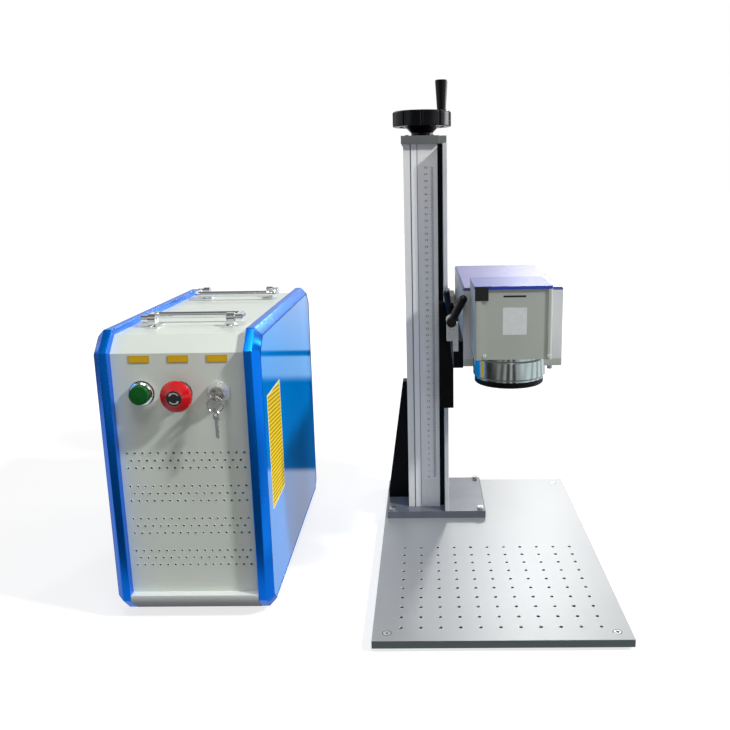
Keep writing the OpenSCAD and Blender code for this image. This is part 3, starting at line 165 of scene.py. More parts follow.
class Finish(Net):
    """A material with one Principled shader."""

    def __init__(self, name, colour, roughness=0.5, metallic=0.0, coat=0.0, coat_roughness=0.05,
                 specular=0.5):
        self.material = bpy.data.materials.new(name)
        self.material.use_nodes = True
        super().__init__(self.material.node_tree, self.material.node_tree.nodes["Principled BSDF"])
        self.colour = colour
        self.set("Base Color", (*colour, 1.0))
        self.set("Roughness", roughness)
        self.set("Metallic", metallic)
        self.set("Specular IOR Level", specular)
        self.set("Coat Weight", coat)
        self.set("Coat Roughness", coat_roughness)

    def mottled(self, scale, darkest):
        """Darkens the colour in soft clouds, down to a share of it."""
        dark = tuple(channel * darkest for channel in self.colour)
        self.set("Base Color", self.mixed(self.noise(scale).rise(*CLOUDS), self.colour, dark))


def dress(finish, *nodes, edge=0.0):
    """Gives CAD nodes their finish and, where they have sharp edges, a small rounding."""
    for node in nodes:
        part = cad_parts[node]
        part.data.materials.clear()
        part.data.materials.append(finish.material)
        if edge:
            weld = part.modifiers.new("weld", "WELD")
            weld.merge_threshold = WELD_GAP
            bevel = part.modifiers.new("bevel", "BEVEL")
            bevel.width = edge
            bevel.segments = EDGE_STEPS
            bevel.limit_method = "ANGLE"
            bevel.angle_limit = SHARP_ANGLE
            flats = part.modifiers.new("flats", "WEIGHTED_NORMAL")
            flats.weight = LARGE_FACES_FIRST


cheek_blue = Finish("metallic blue lacquer", CHEEK_BLUE, metallic=0.86)
cheek_blue.mottled(14, 0.93)
cheek_blue.set("Roughness", 0.25 + 0.04 * cheek_blue.noise(7, 0.0))
cheek_blue.bump(cheek_blue.noise(60, 0.0), ORANGE_PEEL, 0.03)
dress(cheek_blue, "left_cheek", "right_cheek", edge=CHEEK_EDGE)

# Side panels. Sheets of high-gloss blue acrylic let into the cheeks' seats, glued all round.
# The right one carries a bare yellow sticker of fine slanting rules near its front edge.
PANEL_BLUE = (0.0, 0.32, 1.0)
STICKER_Y = (-0.156, -0.066)
STICKER_Z = (0.1385, 0.2945)
STICKER_T = 0.0002
STICKER_CORNER = 0.002
STICKER_RIM = 0.0025
STICKER_YELLOW = (0.95, 0.70, 0.008)
STICKER_CREAM = (0.95, 0.86, 0.42)
STICKER_INK = (0.40, 0.21, 0.0)
RULE_PITCH = 0.0055
RULE_SLOPE = 0.1
RULE_SHARE = 0.36
CORNER_STEPS = 5
SLIVER = 1e-7

panel_blue = Finish("gloss blue acrylic", PANEL_BLUE, coat=0.15, coat_roughness=0.02)
panel_blue.set("Roughness", 0.03 + 0.04 * panel_blue.noise(25))
panel_blue.mottled(6, 0.95)
dress(panel_blue, "side_panels")


def mesh_piece(name, corners, faces, finish, body):
    """Makes a piece from its corners and faces, and lets it ride on a body."""
    mesh = bpy.data.meshes.new(name)
    mesh.from_pydata([tuple(c) for c in corners], [], faces)
    mesh.validate()
    shape = bmesh.new()
    shape.from_mesh(mesh)
    bmesh.ops.remove_doubles(shape, verts=shape.verts, dist=WELD_GAP)
    bmesh.ops.dissolve_degenerate(shape, dist=SLIVER, edges=shape.edges)
    bmesh.ops.recalc_face_normals(shape, faces=shape.faces)
    shape.to_mesh(mesh)
    shape.free()
    mesh.materials.append(finish.material)
    piece = bpy.data.objects.new(name, mesh)
    bpy.context.scene.collection.objects.link(piece)
    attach(piece, body)
    return piece


def plate(name, outline, normal, low, high, finish, body, slot):
    """A flat plate: an outline in the two axes that the normal leaves, between two heights along it."""
    across, up, along = {"X": (1, 2, 0), "Y": (0, 2, 1)}[normal]
    corners = []
    for height in (low, high):
        for point in outline:
            corner = [0.0, 0.0, 0.0]
            corner[across], corner[up] = point
            corner[along] = height
            corners.append(corner)
    count = len(outline)
    faces = [tuple(range(count)), tuple(range(2 * count - 1, count - 1, -1))]
    faces += [(i, (i + 1) % count, count + (i + 1) % count, count + i) for i in range(count)]
    mesh_piece(name, corners, faces, finish, body)


def rounded(low, high, radius):
    """A rectangle's outline with round corners."""
    middles = ((high[0] - radius, high[1] - radius), (low[0] + radius, high[1] - radius),
               (low[0] + radius, low[1] + radius), (high[0] - radius, low[1] + radius))
    outline = []
    for quarter, (x, y) in enumerate(middles):
        for step in range(CORNER_STEPS + 1):
            angle = math.pi / 2 * (quarter + step / CORNER_STEPS)
            outline.append((x + radius * math.cos(angle), y + radius * math.sin(angle)))
    return outline


sticker = Finish("yellow sticker", STICKER_YELLOW, roughness=0.5, specular=0.2)
inner = sticker.strip("Y", STICKER_Y, STICKER_RIM) * sticker.strip("Z", STICKER_Z, STICKER_RIM)
rules = (sticker.axis("Y") * RULE_SLOPE + sticker.axis("Z")).wave(RULE_PITCH) < RULE_SHARE
field = sticker.mixed(rules, STICKER_YELLOW, STICKER_INK)
sticker.set("Base Color", sticker.mixed(inner, STICKER_CREAM, field))
panel_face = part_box("side_panels")[1].x
plate("side_sticker", rounded(*zip(STICKER_Y, STICKER_Z), STICKER_CORNER), "X",
      panel_face, panel_face + STICKER_T, sticker, "frame", "legend_gold")

# Folded cover. One sheet of steel makes the front, the slope, the roof and the rear slope,
# powder-coated pale grey with a fine texture. Its vents are punched, which leaves a small burr.
COAT_GREY = (0.73, 0.785, 0.71)
COAT_GRAIN = 0.00004
TEXTURE_SCALE = 1400
VENT_GROUPS = 4
VENT_GROUP_PITCH = 0.0447
VENT_ROWS = 3
VENT_COLUMNS = 16
VENT_PITCH = 0.010
VENT_FIRST = (-0.3015, 0.073)
VENT_BURR = ((0.0015, 0.0), (0.0018, 0.00035), (0.0023, 0.0))

coat_grey = Finish("pale powder coat", COAT_GREY, roughness=0.36, coat=0.12, coat_roughness=0.2)
coat_grey.mottled(9, 0.94)
coat_grey.bump(coat_grey.noise(TEXTURE_SCALE, 2.0), COAT_GRAIN, 0.4)
dress(coat_grey, "front_top_cover")


def turned(name, places, axis, profile, finish, body, sides=16):
    """A turned shape at each of several places: a profile of radius and height along a signed axis.

    A profile that starts on the axis makes a solid shape, and any other one a ring.
    """
    way = 1 if axis[0] == "+" else -1
    along = "XYZ".index(axis[1])
    side, up = (along + 1) % 3, (along + 2) % 3
    solid = profile[0][0] == 0
    rings = len(profile)
    corners, faces = [], []
    for place in places:
        first = len(corners)
        for radius, height in profile:
            for i in range(sides):
                corner = list(place)
                angle = 2 * math.pi * i / sides
                corner[side] += radius * math.cos(angle)
                corner[up] += radius * math.sin(angle)
                corner[along] += way * height
                corners.append(corner)
        for ring in range(rings - 1 if solid else rings):
            low, high = first + ring * sides, first + (ring + 1) % rings * sides
            for i in range(sides):
                faces.append((low + i, low + (i + 1) % sides, high + (i + 1) % sides, high + i))
        if solid:
            faces.append(tuple(range(len(corners) - sides, len(corners))))
    mesh_piece(name, corners, faces, finish, body)


front_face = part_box("front_top_cover")[0].y
vents = []
for group in range(VENT_GROUPS):
    for row in range(VENT_ROWS):
        odd = row % 2
        for column in range(VENT_COLUMNS - odd):
            vents.append((VENT_FIRST[0] + (column + odd / 2) * VENT_PITCH, front_face,
                          VENT_FIRST[1] + group * VENT_GROUP_PITCH + row * VENT_PITCH))
turned("vent_burrs", vents, "-Y", VENT_BURR, coat_grey, "frame", sides=12)

# Rear panel. A flat sheet in the cover's paint, with a slotted grille for the fan and openings
# for the inlet and the sockets. Eight domed screws along its two sides hold it.
ZINC = (0.55, 0.56, 0.57)
SCREW_DOME = ((0.0, 0.0007), (0.0009, 0.0007), (0.0010, 0.0016), (0.0024, 0.0013), (0.0032, 0.0006),
              (0.0034, 0.0))
REAR_SCREW_ROWS = 4
REAR_SCREW_X = 0.007
REAR_SCREW_Z = 0.012

dress(coat_grey, "rear_panel")
zinc = Finish("zinc screws", ZINC, metallic=1.0)
zinc.set("Roughness", 0.24 + 0.2 * zinc.noise(400))
panel_low, panel_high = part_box("rear_panel")
screw_pitch = (panel_high.z - panel_low.z - 2 * REAR_SCREW_Z) / (REAR_SCREW_ROWS - 1)
rear_screws = [(x, panel_high.y, panel_low.z + REAR_SCREW_Z + row * screw_pitch)
               for x in (panel_low.x + REAR_SCREW_X, panel_high.x - REAR_SCREW_X)
               for row in range(REAR_SCREW_ROWS)]
turned("rear_screws", rear_screws, "+Y", SCREW_DOME, zinc, "frame")

# Base tray. Folded steel with a chamfered foot and a ledge in front, sprayed in silver grey,
# with painted shade that darkens it towards the floor.
TRAY_GREY = (0.80, 0.83, 0.80)
TRAY_PAINTED_SHADE = [(0.0, (0.07, 0.095, 0.08)), (0.5, (0.20, 0.23, 0.21)), (0.8, (0.50, 0.53, 0.50)),
             (1.0, TRAY_GREY)]
TRAY_PAINTED_SHADE_Z = (0.010, 0.034)
TRAY_GRAIN = 0.00003
SMALL_EDGE = 0.0005

tray_grey = Finish("silver tray paint", TRAY_GREY, roughness=0.34, metallic=0.1)
# Painted shade: the colour falls from the grey paint to near black towards the floor, with a little
# random tone.
painted_shade = tray_grey.axis("Z").rise(*TRAY_PAINTED_SHADE_Z) + 0.06 * (tray_grey.noise(260, 4.0) - 0.5)
tray_grey.set("Base Color", tray_grey.node("ShaderNodeValToRGB", {"stops": TRAY_PAINTED_SHADE}, {"Fac": painted_shade}))
tray_grey.bump(tray_grey.noise(TEXTURE_SCALE, 2.0), TRAY_GRAIN, 0.3)
dress(tray_grey, "base_tray", edge=SMALL_EDGE)

# Rubber feet of the cabinet. Four low mouldings of black rubber, set back under the tray and
# dusty where they meet the floor.
RUBBER_BLACK = (0.018, 0.018, 0.018)
DUST_GREY = (0.09, 0.085, 0.08)
DUST_H = 0.006
RUBBER_GRAIN = 0.0001

rubber = Finish("black rubber", RUBBER_BLACK, roughness=0.85, specular=0.3)
dust = rubber.noise(120) * (1.2 - rubber.axis("Z").rise(0.0, DUST_H))
rubber.set("Base Color", rubber.mixed(dust * 0.6, RUBBER_BLACK, DUST_GREY))
rubber.bump(rubber.noise(600), RUBBER_GRAIN, 0.4)
dress(rubber, "cabinet_feet")

# Folding carrying handles. Chromed steel bows that lie on the roof between round-topped saddles,
# polished bright, with the faint smears that hands leave. Small screws hold the saddles' feet.
CHROME = (0.83, 0.84, 0.86)
PIVOT_INSET = 0.0054
SADDLE_SCREW_X = 0.0519
SADDLE_SCREW_Y = 0.0105
SADDLE_FOOT_T = 0.00275
SADDLE_SCREW_SHARE = 0.75

chrome = Finish("polished chrome", CHROME, metallic=1.0)
chrome.set("Roughness", 0.04 + 0.1 * chrome.noise(45))
dress(chrome, "handle_saddles", "front_handle", "rear_handle")


def middle(node):
    """The middle of a CAD node's box."""
    low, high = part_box(node)
    return (low + high) / 2


cabinet_x = middle("handle_saddles").x
foot_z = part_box("handle_saddles")[0].z + SADDLE_FOOT_T
pivots_y = (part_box("front_handle")[0].y + PIVOT_INSET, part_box("rear_handle")[1].y - PIVOT_INSET)
saddle_screws = [(cabinet_x + side * SADDLE_SCREW_X, pivot_y + way * SADDLE_SCREW_Y, foot_z)
                 for pivot_y in pivots_y for side in (-1, 1) for way in (-1, 1)]
small_dome = tuple((r * SADDLE_SCREW_SHARE, h * SADDLE_SCREW_SHARE) for r, h in SCREW_DOME)
turned("saddle_screws", saddle_screws, "+Z", small_dome, zinc, "frame", sides=12)

# Green button. A chrome bezel clamped in a hole of the cover with a thin black sealing ring
# under its rim, and a dark green moulded cap that slides in it.
CAP_GREEN = (0.001, 0.12, 0.012)
DARK_PLASTIC = (0.02, 0.021, 0.024)
PLASTIC_GRAIN = 0.00004
SEALING_RING = ((0.0148, 0.0), (0.0148, 0.0008), (0.0157, 0.0007), (0.0159, 0.0))

cap_green = Finish("green button plastic", CAP_GREEN, specular=0.3)
cap_green.set("Roughness", 0.22 + 0.1 * cap_green.noise(200))
cap_green.mottled(90, 0.85)
dark_plastic = Finish("dark plastic", DARK_PLASTIC)
dark_plastic.set("Roughness", 0.4 + 0.15 * dark_plastic.noise(250))
dark_plastic.bump(dark_plastic.noise(1200), PLASTIC_GRAIN, 0.4)
dress(chrome, "start_bezel")
dress(cap_green, "start_cap")
bezel = middle("start_bezel")
turned("sealing_ring", [(bezel.x, front_face, bezel.z)], "-Y", SEALING_RING, dark_plastic, "frame",
       sides=40)

# Stop button. A red mushroom cap on a dark collar, with a dark disc glued over the dish in its
# face, which carries two plain arrows for the turn that frees it.
CAP_RED = (0.70, 0.003, 0.008)
PRINT_PALE = (0.62, 0.62, 0.60)
DISC_R = 0.0096
DISC_T = 0.0004
DISC = ((0.0, DISC_T), (DISC_R - DISC_T, DISC_T), (DISC_R, 0.0), (DISC_R, -2 * DISC_T))
ARROW_T = 0.0001
ARROW_R = 0.0066
ARROW_HALF = 0.0007
ARROW_HEAD_HALF = 0.0019
ARROW_HEAD_TURN = 0.55
ARROW_STARTS = (math.radians(35), math.radians(215))
ARROW_STEP = math.radians(11)
ARROW_POINTS = 9

cap_red = Finish("red mushroom plastic", CAP_RED, coat=0.35)
cap_red.set("Roughness", 0.2 + 0.08 * cap_red.noise(150))
cap_red.mottled(60, 0.85)
dress(cap_red, "estop_cap")
dress(dark_plastic, "estop_collar", "estop_stem")
stop = middle("estop_cap")
stop_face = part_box("estop_cap")[0].y
turned("stop_disc", [(stop.x, stop_face, stop.z)], "-Y", DISC, dark_plastic, "stop_cap",
       sides=40)
arrow_ink = Finish("pale print", PRINT_PALE, roughness=0.5)
arrow_ink.mottled(900, 0.8)
for number, start in enumerate(ARROW_STARTS):
    bend = [start + ARROW_STEP * i for i in range(ARROW_POINTS)]
    arrow = [(ARROW_R + ARROW_HALF, angle) for angle in bend]
    arrow += [(ARROW_R + ARROW_HEAD_HALF, bend[-1]), (ARROW_R, bend[-1] + ARROW_HEAD_TURN),
              (ARROW_R - ARROW_HEAD_HALF, bend[-1])]
    arrow += [(ARROW_R - ARROW_HALF, angle) for angle in reversed(bend)]
    outline = [(stop.x + r * math.cos(angle), stop.z + r * math.sin(angle)) for r, angle in arrow]
    plate(f"stop_arrow_{number + 1}", outline, "Y", stop_face - DISC_T - ARROW_T, stop_face - DISC_T,
          arrow_ink, "stop_cap", "dark_plastic")

# Key switch. A coned chrome barrel and a nickel plug with its key, and a spare key on a split
# ring; the keys are stamped and tumbled, so they are dull and slightly scratched.
NICKEL = (0.62, 0.61, 0.58)
SCRATCH_DEPTH = 0.00003

nickel = Finish("nickel key metal", NICKEL, metallic=1.0)
nickel.set("Roughness", 0.16 + 0.2 * nickel.noise(500))
nickel.bump(nickel.noise(900), SCRATCH_DEPTH, 0.5)
satin_chrome = Finish("satin chrome", CHROME, metallic=0.85)
satin_chrome.set("Roughness", 0.2 + 0.12 * satin_chrome.noise(300))
dress(satin_chrome, "key_switch_barrel")
dress(nickel, "key_plug", "key_ring")

# Legend plates. Three small gold-printed metal plates, glued above the switches and left bare,
# with a darker printed border.
LEGEND_GOLD = (0.86, 0.50, 0.004)
LEGEND_BROWN = (0.50, 0.33, 0.02)
LEGEND_W = 0.026
LEGEND_BORDER_X = (0.0115, 0.0125)
LEGEND_BORDER_Z = (0.0031, 0.0040)
LEGEND_EDGE = 0.0002

legend_gold = Finish("gold legend plate", LEGEND_GOLD, metallic=0.1)
legend_low, legend_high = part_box("legend_plates")
legend_pitch = (legend_high.x - legend_low.x - LEGEND_W) / 2
sideways = (legend_gold.axis("X") - cabinet_x).wave(legend_pitch) * (legend_pitch / 2)
upright = legend_gold.axis("Z").away(middle("legend_plates").z)
border = (sideways.rise(*LEGEND_BORDER_X) + upright.rise(*LEGEND_BORDER_Z)).rise(0.0, 1.0)
legend_gold.set("Base Color", legend_gold.mixed(border * 0.8, LEGEND_GOLD, LEGEND_BROWN))
legend_gold.set("Roughness", 0.28 + 0.12 * legend_gold.noise(300, stretch=(1, 1, 20)))
dress(legend_gold, "legend_plates", edge=LEGEND_EDGE)

# Inside the cabinet: contact blocks on the switches, the laser source in a dark cast case with
# fins, the folded power supply on it, and the control board on pillars.
CAST_GREY = (0.30, 0.31, 0.32)
BLASTED_GRAIN = 0.00008
BOARD_GREEN = (0.01, 0.11, 0.04)
BOARD_TRACKS = (0.02, 0.2, 0.08)

cast_grey = Finish("bead-blasted aluminium", CAST_GREY, roughness=0.5, metallic=0.8)
cast_grey.mottled(40, 0.85)
cast_grey.bump(cast_grey.noise(900), BLASTED_GRAIN, 0.5)
board_green = Finish("circuit board", BOARD_GREEN, roughness=0.4)
board_green.set("Base Color", board_green.mixed(board_green.noise(700) > 0.55, BOARD_GREEN, BOARD_TRACKS))
dress(dark_plastic, "switch_blocks", "laser_source")
dress(cast_grey, "power_supply")
dress(board_green, "control_board")

# Rear fittings: the mains inlet with its rocker, the fan behind the grille, the gland, and the
# control socket, whose steel shell holds a dark insert with two rows of pins.
INSERT_TOP_HALF = 0.0125
INSERT_FOOT_HALF = 0.0110
INSERT_H_HALF = 0.0052
INSERT_SUNK = 0.0002
INSERT_T = 0.0003
PIN = ((0.0, 0.0007), (0.0004, 0.0007), (0.0005, 0.0))
PIN_COLUMNS = 8
PIN_PITCH = 0.0028
PIN_ROW_PITCH = 0.0034

dress(dark_plastic, "power_inlet", "power_rocker", "fan_frame", "fan_rotor", "cabinet_gland")
dress(nickel, "control_sockets")
socket = middle("control_sockets")
shell_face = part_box("control_sockets")[1].y
insert_face = shell_face + INSERT_T
insert = [(socket.x + half, socket.z + INSERT_H_HALF) for half in (-INSERT_TOP_HALF, INSERT_TOP_HALF)]
insert += [(socket.x + half, socket.z - INSERT_H_HALF) for half in (INSERT_FOOT_HALF, -INSERT_FOOT_HALF)]
plate("socket_insert", insert, "Y", shell_face - INSERT_SUNK, insert_face, dark_plastic, "frame",
      "dark_plastic")
pins = [(socket.x + (i - (PIN_COLUMNS - row - 1) / 2) * PIN_PITCH, insert_face,
         socket.z + (0.5 - row) * PIN_ROW_PITCH) for row in (0, 1) for i in range(PIN_COLUMNS - row)]
turned("socket_pins", pins, "+Y", PIN, zinc, "frame", sides=8)

# Worktable. A thick plate of aluminium, milled from front to back, with sides darkened by a
# painted reflection of the dark floor, a grid of tapped holes whose countersinks carry a painted
# highlight, and rubber feet under its corner screws.
ALUMINIUM = (0.38, 0.39, 0.392)
MILLED_SHADE = (0.355, 0.365, 0.37)
SIDE_PAINTED_REFLECTION = (0.10, 0.13, 0.125)
MILLING_DEPTH = 0.00002
COUNTERSINK_HIGHLIGHT = (0.80, 0.81, 0.82)
HOLE_COLUMNS = 11
HOLE_ROWS = 10
HOLE_PITCH = 0.025
HOLE_FIRST_Y = 0.030
RIM_RING = ((0.0024, -0.0005), (0.0029, 0.00005), (0.0030, 0.0))

brushed = Finish("milled aluminium", ALUMINIUM, metallic=0.35)
grain = brushed.noise(40, 4.0, stretch=(60, 1, 60))
brushed.set("Roughness", 0.36 + 0.14 * grain)
milled = brushed.mixed(brushed.noise(5).rise(0.3, 0.7), ALUMINIUM, MILLED_SHADE)
# Painted reflection: every face that does not point up takes a dark colour for the dark floor it mirrors.
side_reflection_mask = brushed.axis("Z", "Normal") < 0.5
brushed.set("Base Color", brushed.mixed(side_reflection_mask, milled, SIDE_PAINTED_REFLECTION))
brushed.bump(grain, MILLING_DEPTH, 0.3)
dress(brushed, "worktable_plate")
dress(rubber, "table_feet")
dress(nickel, "table_screws")
# The rim rings are the real countersinks; their pale colour, far lighter than the plate's, is a painted
# highlight.
bright = Finish("bright countersink", COUNTERSINK_HIGHLIGHT, metallic=0.3)
bright.set("Roughness", 0.35 + 0.15 * bright.noise(300))
table_low, table_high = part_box("worktable_plate")
grid_left = middle("worktable_plate").x - (HOLE_COLUMNS - 1) * HOLE_PITCH / 2
holes = [(grid_left + column * HOLE_PITCH, table_low.y + HOLE_FIRST_Y + row * HOLE_PITCH, table_high.z)
         for column in range(HOLE_COLUMNS) for row in range(HOLE_ROWS)]
turned("hole_rims", holes, "+Z", RIM_RING, bright, "frame", sides=20)

# Column flange and column cap. Cast plates milled flat and sprayed, the flange in slate grey and
# the cap in a plainer grey. Four dark domed screws hold the cap on the column.
SLATE_GREY = (0.155, 0.17, 0.20)
CAP_GREY = (0.17, 0.18, 0.175)
CAST_GRAIN = 0.00005
MILLED_EDGE = 0.0006
CAP_SCREWS_X = (0.009, 0.048)
CAP_SCREW_Y = 0.012

slate = Finish("slate grey paint", SLATE_GREY, roughness=0.32, metallic=0.15, coat=0.2)
cap_grey = Finish("grey cap paint", CAP_GREY, roughness=0.4, metallic=0.2)
for paint in (slate, cap_grey):
    paint.mottled(30, 0.85)
    paint.bump(paint.noise(700), CAST_GRAIN, 0.5)
dress(slate, "column_flange", edge=MILLED_EDGE)
dress(cap_grey, "column_cap", edge=MILLED_EDGE)
top_low, top_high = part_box("column_cap")
cap_screws = [(top_low.x + x, y, top_high.z) for x in CAP_SCREWS_X
              for y in (top_low.y + CAP_SCREW_Y, top_high.y - CAP_SCREW_Y)]
turned("cap_screws", cap_screws, "+Z", SCREW_DOME, dark_plastic, "frame")

# Column extrusion. Silver anodised aluminium with drawing lines along its length, a painted
# highlight as a pale band between its two front grooves, and painted shade in the grooves;
# open on the right for the nut's arm.
SILVER = (0.93, 0.92, 0.89)
SILVER_SHADE = (0.86, 0.85, 0.82)
PAINTED_HIGHLIGHT_PALE = (0.97, 0.97, 0.97)
GROOVE_PAINTED_SHADE = (0.26, 0.27, 0.26)
DRAWING_DEPTH = 0.00002
HIGHLIGHT_BAND_X = (0.0613, 0.0697)
GROOVES_X = ((0.0596, 0.0614), (0.0699, 0.0709))

anodised = Finish("silver anodised extrusion", SILVER, metallic=0.15)
lines = anodised.noise(30, stretch=(80, 80, 1))
anodised.set("Roughness", 0.36 + 0.14 * lines)
drawn = anodised.mixed(lines.rise(0.3, 0.8), SILVER, SILVER_SHADE)
# Painted highlight: a pale band between the two grooves.
highlight_band = anodised.mixed(anodised.strip("X", HIGHLIGHT_BAND_X), drawn, PAINTED_HIGHLIGHT_PALE)
# Painted shade: the grooves themselves take a dark grey.
groove_shade = sum(anodised.strip("X", groove) for groove in GROOVES_X)
anodised.set("Base Color", anodised.mixed(groove_shade, highlight_band, GROOVE_PAINTED_SHADE))
anodised.bump(lines, DRAWING_DEPTH, 0.3)
dress(anodised, "column_extrusion")

# Height scale. A thin silvered strip stuck to the column, printed with centimetre numbers and
# fine ticks, one for each millimetre and longer ones for each five and ten.
SCALE_SILVER = (0.97, 0.96, 0.94)
PRINT_GREY = (0.09, 0.09, 0.10)
MM = 0.001
SCALE_FROM = 0.080
SCALE_CM = 50
INK_T = 0.00006
NUMBER_X = 0.0835
DIGIT_H = 0.0034
DIGIT_SIZE_SHARE = 0.72
DIGIT_STEP_SHARE = 0.8
TICK_RIGHT = 0.0952
TICK_HALF = 0.00018
TICK_LENGTHS = {1: 0.0036, 5: 0.0048, 10: 0.0058}

scale_silver = Finish("printed scale", SCALE_SILVER, roughness=0.4, metallic=0.25)
scale_silver.mottled(20, 0.94)
dress(scale_silver, "height_scale")
print_grey = Finish("grey print", PRINT_GREY, roughness=0.55)
print_grey.mottled(1500, 0.75)
ink_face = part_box("height_scale")[0].y - INK_T
glyphs = {}
for digit in "0123456789":
    letter = bpy.data.curves.new("digit_" + digit, "FONT")
    letter.body = digit
    letter.size = DIGIT_H / DIGIT_SIZE_SHARE
    letter.align_x = "CENTER"
    typed = bpy.data.objects.new("digit_" + digit, letter)
    bpy.context.scene.collection.objects.link(typed)
    bpy.context.view_layer.update()
    flat = bpy.data.meshes.new_from_object(typed)
    glyphs[digit] = ([v.co.copy() for v in flat.vertices], [tuple(p.vertices) for p in flat.polygons])
    bpy.data.objects.remove(typed)
    bpy.data.meshes.remove(flat)
corners, faces = [], []
for cm in range(SCALE_CM + 1):
    number = str(cm)
    low = SCALE_FROM + 10 * cm * MM - DIGIT_H / 2
    for place, digit in enumerate(number):
        left = NUMBER_X + (place - (len(number) - 1) / 2) * DIGIT_H * DIGIT_STEP_SHARE
        points, outlines = glyphs[digit]
        first = len(corners)
        corners += [(left + point.x, ink_face, low + point.y) for point in points]
        faces += [tuple(first + i for i in outline) for outline in outlines]
mesh_piece("scale_numbers", corners, faces, print_grey, "frame")
corners, faces = [], []
for mm in range(10 * SCALE_CM + 1):
    left = TICK_RIGHT - max(length for every, length in TICK_LENGTHS.items() if mm % every == 0)
    low, high = (SCALE_FROM + mm * MM + way * TICK_HALF for way in (-1, 1))
    first = len(corners)
    corners += [(left, ink_face, low), (TICK_RIGHT, ink_face, low), (TICK_RIGHT, ink_face, high),
                (left, ink_face, high)]
    faces.append(tuple(range(first, first + 4)))
mesh_piece("scale_ticks", corners, faces, print_grey, "frame")

# Gusset and rail spacers. Black anodised plates: one stiffens the column's left side, the others
# stand the guide rails off its right side.
BLACK = (0.004, 0.0045, 0.006)

black = Finish("black anodising", BLACK, specular=0.12)
black.set("Roughness", 0.36 + 0.14 * black.noise(220))
black.mottled(40, 0.6)
dress(black, "column_gusset", edge=MILLED_EDGE)
dress(black, "rail_spacers")

# Guide rails and bearings. Ground and hardened steel, oiled. Three screws with flush heads hold
# each rail.
GROUND = (0.72, 0.73, 0.73)
RAIL_SCREW_Y = 0.012
RAIL_SCREW_Z = 0.02
RAIL_HEAD_SHARE = 0.8
RAIL_HEAD_FLATNESS = 0.12
RAIL_HEAD_SUNK = 0.0001

ground = Finish("ground steel", GROUND, metallic=0.2)
ground.set("Roughness", 0.24 + 0.12 * ground.noise(60, stretch=(20, 20, 1)))
ground.mottled(25, 0.9)
dress(ground, "guide_rails", "screw_bearings")
rail_low, rail_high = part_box("guide_rails")
rail_screws = [(rail_high.x, y, z) for y in (rail_low.y + RAIL_SCREW_Y, rail_high.y - RAIL_SCREW_Y)
               for z in (rail_low.z + RAIL_SCREW_Z, middle("guide_rails").z, rail_high.z - RAIL_SCREW_Z)]
flush_head = tuple((r * RAIL_HEAD_SHARE, h * RAIL_HEAD_FLATNESS - RAIL_HEAD_SUNK) for r, h in SCREW_DOME)
turned("rail_screws", rail_screws, "+X", flush_head, zinc, "frame")

# Lead screw. Rolled steel with a trapezoidal thread between two plain journals; the thread is
# modelled turn by turn in place of the CAD's plain bar.
THREAD_PITCH = 0.008
THREAD_SIDES = 20
THREAD_END = 0.0035
SCREW_R = 0.008
ROOT_R = 0.0062
JOURNAL_R = 0.006
THREAD_SHARES = ((0.0, ROOT_R), (0.30, ROOT_R), (0.42, SCREW_R), (0.88, SCREW_R))

bar = middle("lead_screw")
bar_low, bar_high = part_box("lead_screw")
thread_from, thread_to = rail_low.z + THREAD_END, rail_high.z - THREAD_END
steps = int((thread_to - thread_from) / THREAD_PITCH * THREAD_SIDES)
corners, faces = [], []
for step in range(steps + 1):
    angle = 2 * math.pi * step / THREAD_SIDES
    for share, radius in THREAD_SHARES:
        height = thread_from + (step / THREAD_SIDES + share) * THREAD_PITCH
        corners.append((bar.x + radius * math.cos(angle), bar.y + radius * math.sin(angle),
                        min(height, thread_to)))
rows = len(THREAD_SHARES)
for step in range(steps):
    for row in range(rows):
        here = step * rows + row
        above = here + 1 if row + 1 < rows else (step + THREAD_SIDES) * rows
        if above + rows < len(corners):
            faces.append((here, here + rows, above + rows, above))
thread = mesh_piece("lead_screw_thread", corners, faces, ground, "screw_drive")
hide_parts("lead_screw")
core = ((0.0, bar_low.z), (JOURNAL_R, bar_low.z), (JOURNAL_R, thread_from), (ROOT_R, thread_from),
        (ROOT_R, thread_to), (JOURNAL_R, thread_to), (JOURNAL_R, bar_high.z), (0.0, bar_high.z))
turned("lead_screw_core", [(bar.x, bar.y, 0.0)], "+Z", core, ground, "screw_drive",
       sides=32)

# Lead nut. One piece of bronze, bored for the screw, with a milled arm that reaches out through
# the column's slot to the carriage.
BRONZE = (0.42, 0.24, 0.08)

bronze = Finish("bronze", BRONZE, metallic=1.0)
bronze.set("Roughness", 0.25 + 0.1 * bronze.noise(200))
bronze.mottled(120, 0.7)
dress(bronze, "lead_nut")

# Handwheel, crank handle and lock levers. Black phenolic mouldings, polished, with a steel
# retaining nut over the wheel's hub.
PHENOLIC = (0.003, 0.003, 0.005)
WHEEL_EDGE = 0.0008
WHEEL_NUT = ((0.0, 0.0052), (0.0052, 0.0052), (0.0062, 0.0042), (0.0062, 0.0))
WHEEL_NUT_GAP = 0.0001

phenolic = Finish("black phenolic", PHENOLIC, specular=0.35)
phenolic.set("Roughness", 0.18 + 0.1 * phenolic.noise(150))
phenolic.mottled(70, 0.6)
dress(phenolic, "handwheel", edge=WHEEL_EDGE)
dress(phenolic, "crank_grip", "carriage_lock_lever", "head_lock_lever")
turned("wheel_nut", [(bar.x, bar.y, bar_high.z + WHEEL_NUT_GAP)], "+Z", WHEEL_NUT, zinc, "screw_drive",
       sides=6)

# Carriage, head bracket and clamp. The carriage and the bracket are milled and black anodised;
# the clamp block between them is left bare and silver.
BARE_SILVER = (0.78, 0.79, 0.80)

